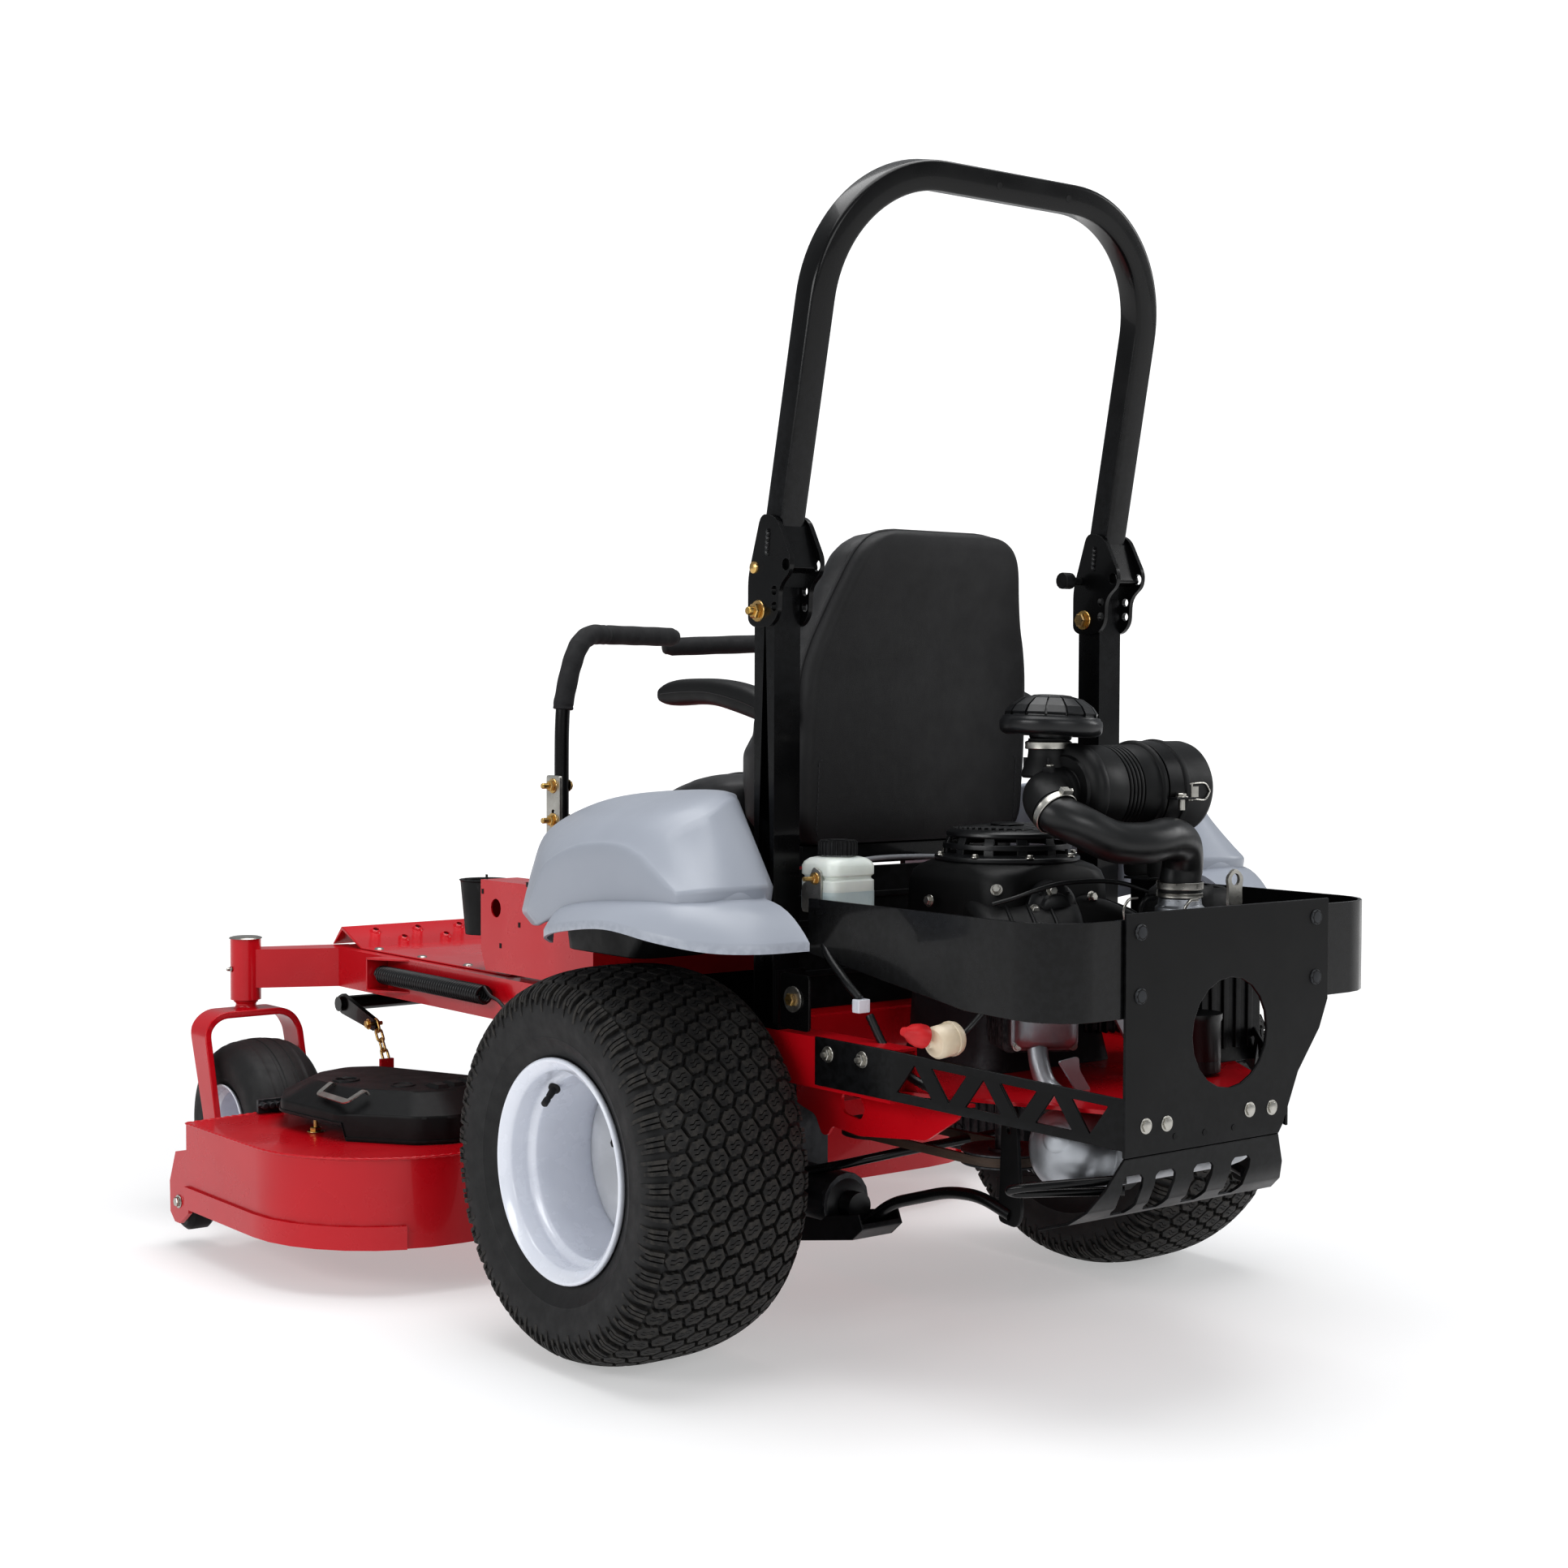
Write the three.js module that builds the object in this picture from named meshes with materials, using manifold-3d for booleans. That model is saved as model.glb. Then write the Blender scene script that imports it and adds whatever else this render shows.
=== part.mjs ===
// Zero turn mower: a commercial ride-on mower with a side-discharge deck and a folding roll bar.
// Millimetres, +Z up, +Y towards the rear (engine), +X towards the machine's left side.
// Drawn with X = 0 on the centre plane, Y = 0 on the rear axle and Z = 0 on the ground; the whole
// mower is then moved so that the origin lies on the ground below the middle of its outer box.
import * as THREE from "three";
import { mergeVertices } from "three/addons/utils/BufferGeometryUtils.js";
import Module from "manifold-3d";

// ---- driving dimensions -------------------------------------------------------------------
const ORIGIN_SHIFT = { x: 106, y: 355.7 };
const GAP = 0.4;
const SEAT_GAP = 1.8;

const REAR_TYRE = { radius: 302, width: 288, x: 531, lip: 171, bead: 152 };
const CASTER_TYRE = { radius: 170, width: 160, lip: 86, bead: 76 };
const CASTER = { x: 525, y: -1345, trail: 62, tubeRadius: 30, tubeLow: 410, tubeHigh: 531, forkTop: 392 };

const RAIL = { outer: 373, wall: 51, low: 434, high: 510, front: -1296, rear: 430 };
const SHEET = 5;

const POST = { outer: 373, width: 50, front: 109, depth: 49, low: 510, high: 1180 };
const HOOP = { lean: 11.5, tube: 46, pivotY: 128, pivotZ: 1144, low: 1206, high: 1835, bend: 205, plate: 8 };

const DECK = { low: 82, high: 237, halfWidth: 788, wall: 5, front: -1040, spindleX: 530, spindleY: -757 };
const MID_SPINDLE_Y = -887;
const CHAMBER = 258;
const BLADE = { length: 484, width: 63, thick: 6, z: 112 };

const CONSOLE = { inner: 296, outer: 373, front: -700, rear: -335, low: 520, high: 684 };
const LEVER = { x: 336, y: -494, z: 575, forwardTilt: 7, swing: 124 };
const BLADE_SWITCH = { x: -336, y: -672 };
const KEY = { x: -314, y: -632 };
const THROTTLE = { x: -352, y: -378 };
const SEAT = { halfWidth: 252, panLow: 744, panHigh: 776, front: -445, rear: 45 };
const LIFT = { y: -1290, z: 392, reach: 130, tipDrop: 28 };
const ENGINE = { x: 0, y: 276, plate: 440, vee: 14 };
const AIR_CLEANER = { y: 500, z: 878, radius: 70, capX: 94, capY: 462 };
const TRUSS = { front: 265, bend: 434, end: 733, high: 512, low: 440, drop: 47, thick: 5, rightEnd: 122 };
const PANEL = { halfWidth: 214, y: 738, low: 384, high: 721, opening: 79 };

// ---- colours ------------------------------------------------------------------------------
const paint = (color, roughness, metalness = 0) =>
  new THREE.MeshStandardMaterial({ color, roughness, metalness });
const RED = paint(0xb3101c, 0.35);
const BLACK_PAINT = paint(0x101012, 0.3);
const BLACK_PLASTIC = paint(0x1c1d1f, 0.6);
const GREY_PLASTIC = paint(0xa9afb8, 0.55);
const RUBBER = paint(0x1a1a1b, 0.8);
const WHITE = paint(0xe6e8ee, 0.35);
const ZINC = paint(0xb9b6ae, 0.35, 0.9);
const CAST = paint(0x3a3b3d, 0.6, 0.5);
const ALUMINIUM = paint(0xa8aaad, 0.45, 0.9);
const LEATHER = paint(0x151517, 0.55);
const YELLOW_PLASTIC = paint(0xc9a300, 0.5);
const CLEAR_PLASTIC = paint(0xd9dccf, 0.4);

// ---- solids -------------------------------------------------------------------------------
const wasm = await Module();
wasm.setup();

// A closed geometry as a solid that can be joined and cut.
function solid(geometry) {
  geometry.deleteAttribute("normal");
  geometry.deleteAttribute("uv");
  const merged = mergeVertices(geometry, 1e-3);
  return new wasm.Manifold(
    new wasm.Mesh({
      numProp: 3,
      vertProperties: new Float32Array(merged.attributes.position.array),
      triVerts: new Uint32Array(merged.index.array),
    }),
  );
}

const join = (...solids) => solids.flat().reduce((a, b) => a.add(b));
const cut = (body, ...tools) => tools.flat().reduce((a, b) => a.subtract(b), body);

function block(low, high) {
  const [x0, y0, z0] = low;
  const [x1, y1, z1] = high;
  const g = new THREE.BoxGeometry(x1 - x0, y1 - y0, z1 - z0);
  g.translate((x0 + x1) / 2, (y0 + y1) / 2, (z0 + z1) / 2);
  return solid(g);
}

// A round bar between two points.
function rod(from, to, radius, sides = 16, radiusTo = radius) {
  const a = new THREE.Vector3(...from);
  const b = new THREE.Vector3(...to);
  const g = new THREE.CylinderGeometry(radiusTo, radius, a.distanceTo(b), sides);
  const turn = new THREE.Quaternion().setFromUnitVectors(
    new THREE.Vector3(0, 1, 0),
    b.clone().sub(a).normalize(),
  );
  g.applyQuaternion(turn);
  g.translate((a.x + b.x) / 2, (a.y + b.y) / 2, (a.z + b.z) / 2);
  return solid(g);
}

// An outline drawn in two axes and extruded along the third: "xy" along z, "yz" along x, "xz" along y.
function prism(plane, outline, from, to, holes = []) {
  const shape = new THREE.Shape(outline.map(([u, v]) => new THREE.Vector2(u, v)));
  for (const hole of holes) shape.holes.push(new THREE.Path(hole.map(([u, v]) => new THREE.Vector2(u, v))));
  const g = new THREE.ExtrudeGeometry(shape, { depth: to - from, bevelEnabled: false, steps: 1 });
  const m = new THREE.Matrix4();
  if (plane === "yz") m.set(0, 0, 1, from, 1, 0, 0, 0, 0, 1, 0, 0, 0, 0, 0, 1);
  else if (plane === "xz") m.set(1, 0, 0, 0, 0, 0, -1, to, 0, 1, 0, 0, 0, 0, 0, 1);
  else m.makeTranslation(0, 0, from);
  g.applyMatrix4(m);
  return solid(g);
}

// A profile of [radius, height] pairs turned about a line through `at` along `axis`.
function turned(profile, at, axis, sides) {
  const g = new THREE.LatheGeometry(profile.map(([r, h]) => new THREE.Vector2(r, h)), sides);
  if (axis === "z") g.rotateX(Math.PI / 2);
  if (axis === "x") g.rotateZ(-Math.PI / 2);
  g.translate(...at);
  const made = solid(g);
  return made.volume() < 0 ? inverted(g) : made;
}
function inverted(g) {
  const index = g.index.array;
  for (let i = 0; i < index.length; i += 3) [index[i + 1], index[i + 2]] = [index[i + 2], index[i + 1]];
  return solid(g);
}

// A bar of the given outline swept along a curve.
function swept(curve, outline, steps) {
  const shape = new THREE.Shape(outline.map(([u, v]) => new THREE.Vector2(u, v)));
  return solid(new THREE.ExtrudeGeometry(shape, { extrudePath: curve, steps, bevelEnabled: false }));
}
const circle = (radius, sides, cx = 0, cy = 0, start = 0) =>
  Array.from({ length: sides }, (_, i) => {
    const a = start + (i / sides) * 2 * Math.PI;
    return [cx + radius * Math.cos(a), cy + radius * Math.sin(a)];
  });
const arc = (radius, cx, cy, fromDeg, toDeg, steps) =>
  Array.from({ length: steps + 1 }, (_, i) => {
    const a = THREE.MathUtils.degToRad(fromDeg + ((toDeg - fromDeg) * i) / steps);
    return [cx + radius * Math.cos(a), cy + radius * Math.sin(a)];
  });
const rounded = (x0, x1, y0, y1, r, steps = 3) => [
  ...arc(r, x1 - r, y0 + r, -90, 0, steps),
  ...arc(r, x1 - r, y1 - r, 0, 90, steps),
  ...arc(r, x0 + r, y1 - r, 90, 180, steps),
  ...arc(r, x0 + r, y0 + r, 180, 270, steps),
];
const bent = (...points) =>
  new THREE.CatmullRomCurve3(points.map((p) => new THREE.Vector3(...p)), false, "centripetal");

// A skin laid over rings of points, all with the same number of points, closed at both ends.
function loft(rings) {
  const n = rings[0].length;
  const position = rings.flat(2);
  const index = [];
  for (let r = 0; r + 1 < rings.length; r++)
    for (let i = 0; i < n; i++) {
      const j = (i + 1) % n;
      index.push(r * n + i, r * n + j, (r + 1) * n + j, r * n + i, (r + 1) * n + j, (r + 1) * n + i);
    }
  const last = (rings.length - 1) * n;
  for (let i = 1; i + 1 < n; i++) {
    index.push(0, i + 1, i);
    index.push(last, last + i, last + i + 1);
  }
  const g = new THREE.BufferGeometry();
  g.setAttribute("position", new THREE.Float32BufferAttribute(position, 3));
  g.setIndex(index);
  const made = solid(g);
  return made.volume() < 0 ? inverted(g) : made;
}
const ringAt = (z, outline) => outline.map(([x, y]) => [x, y, z]);

// ---- the scene graph ----------------------------------------------------------------------
const mower = new THREE.Group();
function add(name, body, material, parent = mower) {
  const m = body.getMesh();
  const g = new THREE.BufferGeometry();
  g.setAttribute("position", new THREE.BufferAttribute(new Float32Array(m.vertProperties), 3));
  g.setIndex(new THREE.BufferAttribute(new Uint32Array(m.triVerts), 1));
  g.computeVertexNormals();
  const mesh = new THREE.Mesh(g, material);
  mesh.name = name;
  parent.add(mesh);
  return mesh;
}
// The same solid on the other side of the centre plane.
function mirrored(body) {
  const m = body.getMesh();
  const position = new Float32Array(m.vertProperties);
  for (let i = 0; i < position.length; i += 3) position[i] = -position[i];
  const index = new Uint32Array(m.triVerts);
  for (let i = 0; i < index.length; i += 3) [index[i + 1], index[i + 2]] = [index[i + 2], index[i + 1]];
  return new wasm.Manifold(new wasm.Mesh({ numProp: 3, vertProperties: position, triVerts: index }));
}
// The same solid moved by a matrix.
function placed(body, matrix) {
  const m = body.getMesh();
  const g = new THREE.BufferGeometry();
  g.setAttribute("position", new THREE.BufferAttribute(new Float32Array(m.vertProperties), 3));
  g.setIndex(new THREE.BufferAttribute(new Uint32Array(m.triVerts), 1));
  g.applyMatrix4(matrix);
  return solid(g);
}
function addPair(name, body, material) {
  add(name + "_left", body, material);
  add(name + "_right", mirrored(body), material);
}

// ---- rear wheels --------------------------------------------------------------------------
{
  const { radius: R, width: W, x, lip, bead } = REAR_TYRE;
  const h = W / 2;
  const section = [
    [bead, -h + 34], [R - 118, -h + 8], [R - 66, -h], [R - 26, -h + 14], [R, -h + 66],
    [R, h - 66], [R - 26, h - 14], [R - 66, h], [R - 118, h - 8], [bead, h - 34], [bead, -h + 34],
  ];
  addPair("rear_tyre", turned(section, [x, 0, R], "x", 36), RUBBER);

  // deep-dished rim with its hub and stub axle towards the drive
  const inside = bead - 12;
  const profile = [
    [0, -h - 12], [42, -h - 12], [42, -46], [inside, -36], [inside, -h + 36], [lip, -h + 8], [lip, -h + 16],
    [bead - SEAT_GAP, -h + 31], [bead - SEAT_GAP, h - 31], [lip, h - 16], [lip, h - 8], [inside, h - 36],
    [inside, -22], [96, -38], [40, -38], [36, -16], [0, -16],
  ];
  const disc = turned(profile, [x, 0, R], "x", 24);
  addPair("rear_rim", disc, WHITE);
}

// ---- casters ------------------------------------------------------------------------------
{
  const { x, y, trail, tubeRadius, tubeLow, forkTop } = CASTER;
  const { radius: R, width: W, lip, bead } = CASTER_TYRE;
  const h = W / 2;
  const axleY = y + trail;
  const section = [
    [bead, -h + 14], [R - 70, -h + 2], [R - 40, -h], [R - 14, -h + 14], [R, -h + 50],
    [R, h - 50], [R - 14, h - 14], [R - 40, h], [R - 70, h - 2], [bead, h - 14], [bead, -h + 14],
  ];
  addPair("caster_tyre", turned(section, [x, axleY, R], "x", 24), RUBBER);
  const rim = [
    [13, -h - 4], [24, -h - 4], [24, -14], [bead - 9, -14], [bead - 9, -h + 18], [lip, -h + 1], [lip, -h + 7],
    [bead - SEAT_GAP, -h + 12], [bead - SEAT_GAP, h - 12], [lip, h - 7], [lip, h - 1], [bead - 9, h - 18],
    [bead - 9, -6], [24, -6], [24, h + 4], [13, h + 4], [13, -h - 4],
  ];
  addPair("caster_rim", turned(rim, [x, axleY, R], "x", 16), WHITE);

  const half = 104;
  const bar = 13;
  const corner = 52;
  const low = R - 34;
  const outer = [
    [x - half, low], [x - half, forkTop - corner],
    ...arc(corner, x - half + corner, forkTop - corner, 180, 90, 3).slice(1),
    ...arc(corner, x + half - corner, forkTop - corner, 90, 0, 3), [x + half, low],
  ];
  const inner = [
    [x + half - bar, low], ...arc(corner - bar, x + half - corner, forkTop - corner, 0, 90, 3),
    ...arc(corner - bar, x - half + corner, forkTop - corner, 90, 180, 3), [x - half + bar, low],
  ];
  // the flat bar is bent square to the ground and its arms lean back to the axle
  const slab = prism("xz", [...outer, ...inner], y - 60, axleY + 60);
  const leanFrom = forkTop - 30;
  const side = [
    [y - 35, forkTop + 1], [y - 35, leanFrom], [axleY - 26, R - 8], [axleY - 22, low - 1],
    [axleY + 22, low - 1],
    [axleY + 28, R - 8], [y + 35, leanFrom], [y + 35, forkTop + 1],
  ];
  const arms = slab.intersect(prism("yz", side, x - half - 1, x + half + 1));
  const stem = rod([x, y, forkTop - 4], [x, y, tubeLow - GAP], 20, 12);
  const shaft = rod([x, y, tubeLow - 2], [x, y, CASTER.tubeHigh - 12], tubeRadius - 10, 12);
  const axle = rod([x - half - 10, axleY, R], [x + half + 10, axleY, R], 11, 12);
  addPair("caster_fork", join(arms, stem, shaft, axle), RED);
}

// ---- frame --------------------------------------------------------------------------------
{
  const inner = RAIL.outer - RAIL.wall;
  const rail = cut(
    block([inner, RAIL.front, RAIL.low], [RAIL.outer, RAIL.rear, RAIL.high]),
    block([inner + 4, RAIL.rear - 20, RAIL.low + 4], [RAIL.outer - 4, RAIL.rear + 1, RAIL.high - 4]),
  );
  const { x, y, tubeRadius, tubeLow, tubeHigh } = CASTER;
  const tube = rod([x, y, tubeLow], [x, y, tubeHigh], tubeRadius, 20);
  const bore = rod([x, y, tubeLow - 1], [x, y, tubeHigh - 9], tubeRadius - 8, 12);
  const back = RAIL.front + 58;
  const arm = prism("xy", [
    [inner, RAIL.front - 6], [x - 8, y - 27], [x - 6, y + 28], [RAIL.outer, back - 8], [inner, back],
  ], RAIL.low, RAIL.high);
  const side = join(rail, cut(join(arm, tube), bore));
  const cross = (y0, y1, z0 = RAIL.low, z1 = RAIL.high) => block([-inner - 2, y0, z0], [inner + 2, y1, z1]);
  const enginePlate = cut(
    block([-inner - 2, 150, ENGINE.plate], [inner + 2, RAIL.rear, ENGINE.plate + 6]),
    rod([ENGINE.x, ENGINE.y, ENGINE.plate - 1], [ENGINE.x, ENGINE.y, ENGINE.plate + 7], 60, 16),
  );
  const rearPlate = prism("xy", [
    [-inner - 20, RAIL.rear - 30], [inner + 20, RAIL.rear - 30],
    [PANEL.halfWidth - 14, PANEL.y - SHEET - GAP],
    [-TRUSS.rightEnd, PANEL.y - SHEET - GAP],
  ], ENGINE.plate, ENGINE.plate + 6);
  const seatFront = block([-inner + 34, -474, RAIL.high - 30], [inner - 34, -466, 738]);
  const seatRear = block([-inner + 10, 60, RAIL.high - 30], [inner - 10, 68, 735]);

  const frame = join(
    side, mirrored(side), cross(RAIL.front, RAIL.front + 50), cross(-500, -450), cross(30, 90),
    enginePlate, rearPlate, seatFront, seatRear,
  );
  add("main_frame", frame, RED);
}

// ---- floor pan and consoles ---------------------------------------------------------------
{
  const width = RAIL.outer - 24;
  const z = RAIL.high + GAP;
  const profile = [
    [-1318, z], [-1281, 548], [-1273, 548], [-1196, z + 3], [-640, z + 3], [-640, z], [-1200, z],
    [-1277, 541],
    [-1312, z],
  ];
  add("floor_pan", prism("yz", profile, -width, width), RED);
}
{
  const { inner, outer, front, rear, low, high } = CONSOLE;
  const side = [[front, 558], [front + 16, low], [rear, low], [rear, high], [front, high - 2]];
  const shell = cut(
    prism("yz", side, inner, outer),
    block([inner + 3, front + 3, low - 1], [outer - 3, rear - 3, high - 4]),
    block([LEVER.x - 14, LEVER.y - 90, high - 10], [LEVER.x + 18, LEVER.y + 80, high + 1]),
    prism("yz", circle(17, 12, front + 52, 634), outer - 5, outer + 1),
  );
  add("console_left", shell, RED);
  const stemHoles = [[BLADE_SWITCH, 6.6], [KEY, 5.6]].map(([at, radius]) =>
    rod([at.x, at.y, high - 8], [at.x, at.y, high + 2], radius, 12));
  add("console_right", cut(mirrored(shell), stemHoles), RED);
  const cup = turned(
    [[0, -50], [34, -50], [43, 46], [46, 50], [38, 50], [37, 46], [29, -44], [0, -44]],
    [338, front - 47, 628], "z", 20,
  );
  const bracket = cut(
    block([312, front - 40, 640], [364, front - GAP, 652]),
    rod([338, front - 47, 570], [338, front - 47, 690], 36, 16),
  );
  add("cup_holder", join(cup, bracket), BLACK_PLASTIC);
}

// ---- fenders and fuel tank ----------------------------------------------------------------
{
  // each station runs over the top from the front lip to the rear lip
  const stations = [
    [
      384,
      [[-440, 650], [-415, 712], [-365, 778], [-240, 828], [-100, 855], [60, 866], [85, 855], [172, 728]],
    ],
    [
      450,
      [[-420, 662], [-396, 724], [-348, 790], [-221, 838], [-83, 862], [100, 873], [156, 862], [244, 738]],
    ],
    [
      520,
      [[-318, 668], [-290, 728], [-240, 790], [-115, 834], [18, 852], [140, 856], [190, 842], [262, 738]],
    ],
    [575, [[-236, 670], [-212, 720], [-165, 775], [-60, 814], [30, 828], [120, 830], [170, 814], [258, 738]]],
    [609, [[-172, 676], [-152, 714], [-115, 757], [-40, 787], [30, 798], [100, 798], [150, 784], [236, 734]]],
  ];
  const under = (top) => {
    const [front] = top;
    const rear = top.at(-1);
    return [
      [rear[0] - 8, 692], [100, 690], [Math.max(-60, front[0] + 60), 686],
      [front[0] + 34, front[1] - 26],
    ];
  };
  const station = (x, top) => [...top, ...under(top)].map(([u, v]) => [x, u, v]);
  const outer = loft(stations.map(([x, top]) => station(x, top)));
  const sunk = ([u, v], cy) => [u + (cy - u) * 0.03, v - 7];
  const inner = loft(stations.map(([x, top], i) => {
    const low = top.map((p) => sunk(p, -80));
    return [
      ...low, ...under(top).map(([u, v], k) => [u + (k ? 4 : -4), v - 30]),
    ].map(([u, v]) => [x + [7, 0, -3, -6, -7][i], u, v]);
  }));
  const skirtLow = [[-100, 636], [-30, 656], [70, 672], [160, 678], [250, 662], [300, 654], [352, 652]];
  const thick = skirtLow.toReversed().map(([u, v], i) => [u, v + (i < 3 ? 60 : 46)]);
  const plan = (d) => [
    [440, 330 - d], [455, 350 - d], [540, 342 - d], [606 - d, 304 - d], [646 - d, 236 - d],
    [664 - d, 130], [662 - d, 10],
    [640 - d, -70 + d], [604, -104 + d], [440, -104 + d],
  ];
  const footprint = prism("xy", plan(0).toReversed(), 600, 760);
  const band = prism("yz", [...skirtLow, ...thick], 440, 670).intersect(footprint);
  const hollow = prism("xy", [...plan(7).slice(0, 8), [596, -120], [440, -120]].toReversed(), 600, 760);
  const drop = prism(
    "yz", [...skirtLow.map(([u, v]) => [u * 1.1, v - 12]), ...thick.map(([u, v]) => [u * 1.1, v - 7])],
    430, 680,
  );
  addPair("fender", cut(join(outer, band), inner, hollow.intersect(drop)), GREY_PLASTIC);

  const tank = loft([
    ringAt(616, rounded(398, 540, -170, 40, 30)), ringAt(700, rounded(398, 548, -180, 120, 36)),
    ringAt(790, rounded(398, 520, -130, 40, 36)),
  ]);
  add("fuel_tank", tank, BLACK_PLASTIC);
}

// ---- roll bar -----------------------------------------------------------------------------
{
  const { outer, width, front, depth, low, high } = POST;
  const tube = cut(
    block([outer - width, front, low + GAP], [outer, front + depth, high]),
    block([outer - width + 5, front + 5, high - 40], [outer - 5, front + depth - 5, high + 1]),
    rod([outer - width - 1, HOOP.pivotY, HOOP.pivotZ], [outer + 1, HOOP.pivotY, HOOP.pivotZ], 7.5, 12),
  );
  const foot = block([outer - width - 6, front - 12, low + GAP], [outer, front + depth + 12, low + 8]);
  const strap = block(
    [outer - width - 8, front + depth - 1, low + 6], [outer - 4, front + depth + 6, low + 90],
  );
  addPair("rops_post", join(tube, foot, strap), BLACK_PAINT);

  const lean = THREE.MathUtils.degToRad(HOOP.lean);
  const { pivotY } = HOOP;
  const legX = outer - width / 2;
  // the hoop is drawn upright above its lower end and then leaned back about that end
  const w = HOOP.tube / 2;
  const rise = (HOOP.high - HOOP.low) / Math.cos(lean) - w * Math.tan(lean);
  const topX = legX - 4;
  const r = HOOP.bend;
  const barZ = rise - w;
  const point = (x, z) => new THREE.Vector3(x, 0, z);
  const soft = 0.45 * r;
  const path = new THREE.CurvePath();
  path.add(new THREE.LineCurve3(point(-legX, 0), point(-topX, barZ - r)));
  path.add(new THREE.CubicBezierCurve3(
    point(-topX, barZ - r), point(-topX, barZ - soft), point(-topX + soft, barZ), point(-topX + r, barZ),
  ));
  path.add(new THREE.LineCurve3(point(-topX + r, barZ), point(topX - r, barZ)));
  path.add(new THREE.CubicBezierCurve3(
    point(topX - r, barZ), point(topX - soft, barZ), point(topX, barZ - soft), point(topX, barZ - r),
  ));
  path.add(new THREE.LineCurve3(point(topX, barZ - r), point(legX, 0)));
  const g = new THREE.ExtrudeGeometry(
    new THREE.Shape([[-w, -w], [w, -w], [w, w], [-w, w]].map(([u, v]) => new THREE.Vector2(u, v))),
    { extrudePath: path, steps: 26, bevelEnabled: false },
  );
  g.rotateX(-lean);
  g.translate(0, front + depth / 2 + 2, HOOP.low);
  const bar = solid(g);
  const plateOutline = [
    [front - 6, 1128], [front + 10, 1119], [front + 52, 1121], [front + 68, 1138], [front + 70, 1180],
    [front + 96, 1200], [front + 98, 1222], [front + 64, 1284], [front + 26, 1292], [front - 6, 1196],
  ];
  const holes = [
    circle(7, 8, front + 59, 1150), circle(7, 8, front + 59, 1174), circle(8.5, 10, front + 10, 1210),
  ];
  const bolt = rod([outer - width - 20, pivotY, HOOP.pivotZ], [outer + 26, pivotY, HOOP.pivotZ], 7, 12);
  const head = rod(
    [outer + HOOP.plate, pivotY, HOOP.pivotZ], [outer + HOOP.plate + 12, pivotY, HOOP.pivotZ], 12, 6,
  );
  const nut = rod(
    [outer - width - HOOP.plate - 10, pivotY, HOOP.pivotZ],
    [outer - width - HOOP.plate, pivotY, HOOP.pivotZ], 12, 6,
  );
  const side = join(
    prism("yz", plateOutline, outer + GAP, outer + GAP + HOOP.plate, holes),
    prism("yz", plateOutline, outer - width - GAP - HOOP.plate, outer - width - GAP, holes),
    bolt, head, nut,
  );
  const bridge = block(
    [outer - width - HOOP.plate, front + 20, HOOP.low + 6],
    [outer + HOOP.plate, front + depth + 6, HOOP.low + 40],
  );
  add("rops_hoop", join(bar, side, mirrored(side), bridge, mirrored(bridge)), BLACK_PAINT);

  const inside = outer - width - GAP - HOOP.plate;
  const pin = join(
    rod([inside - 26, front + 10, 1210], [inside + HOOP.plate, front + 10, 1210], 6.5, 12),
    rod([inside - 44, front + 10, 1210], [inside - 22, front + 10, 1210], 14, 14),
  );
  addPair("rops_pin", pin, BLACK_PLASTIC);
}

// ---- control levers -----------------------------------------------------------------------
const LEVERS = [
  { name: "left", sign: 1, forward: 0, reach: 310 },
  { name: "right", sign: -1, forward: LEVER.forwardTilt, reach: 326 },
];
for (const { name, sign, forward, reach } of LEVERS) {
  const { x } = LEVER;
  const group = new THREE.Group();
  group.position.set(0, LEVER.y, LEVER.z);
  group.rotation.x = THREE.MathUtils.degToRad(forward);
  mower.add(group);
  const turn = (body) => (sign > 0 ? body : mirrored(body));
  const { swing } = LEVER;
  // the arm rises through the console and carries a barrel that the lever swings out on
  const arm = join(
    block([x + 2, -14, -4], [x + 8, 14, swing - 4]),
    rod([x + 5, -14, swing], [x + 5, 14, swing], 6, 12),
    rod([x - 22, 0, 0], [x + 14, 0, 0], 16, 16),
  );
  add("lever_arm_" + name, turn(arm), ZINC, group);
  const ears = [-21, 15].map((v) => join(
    rod([x + 5, v, swing], [x + 5, v + 6, swing], 6, 10),
    block([x, v, swing], [x + 15, v + 6, swing + 20]),
  ));
  const plate = block([x + 9, -21, swing + 8], [x + 15, 21, 300]);
  const grip = [
    [x - 8, 0, 430], [x - 22, 0, 486], [x - 42, -4, 526], [x - 72, -14, 544], [x - 112, -28, 546],
    [x - reach, -28 - (reach - 112) * 0.35, 546],
  ];
  const tube = swept(bent([x - 3, 0, 208], [x - 3, 0, 330], ...grip), circle(12.5, 8), 14);
  const foam = swept(bent([x - 7, 0, 422], ...grip), circle(18, 8), 10);
  add("lever_" + name, turn(join(tube, foam, plate, ears)), BLACK_PAINT, group);
}

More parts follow.
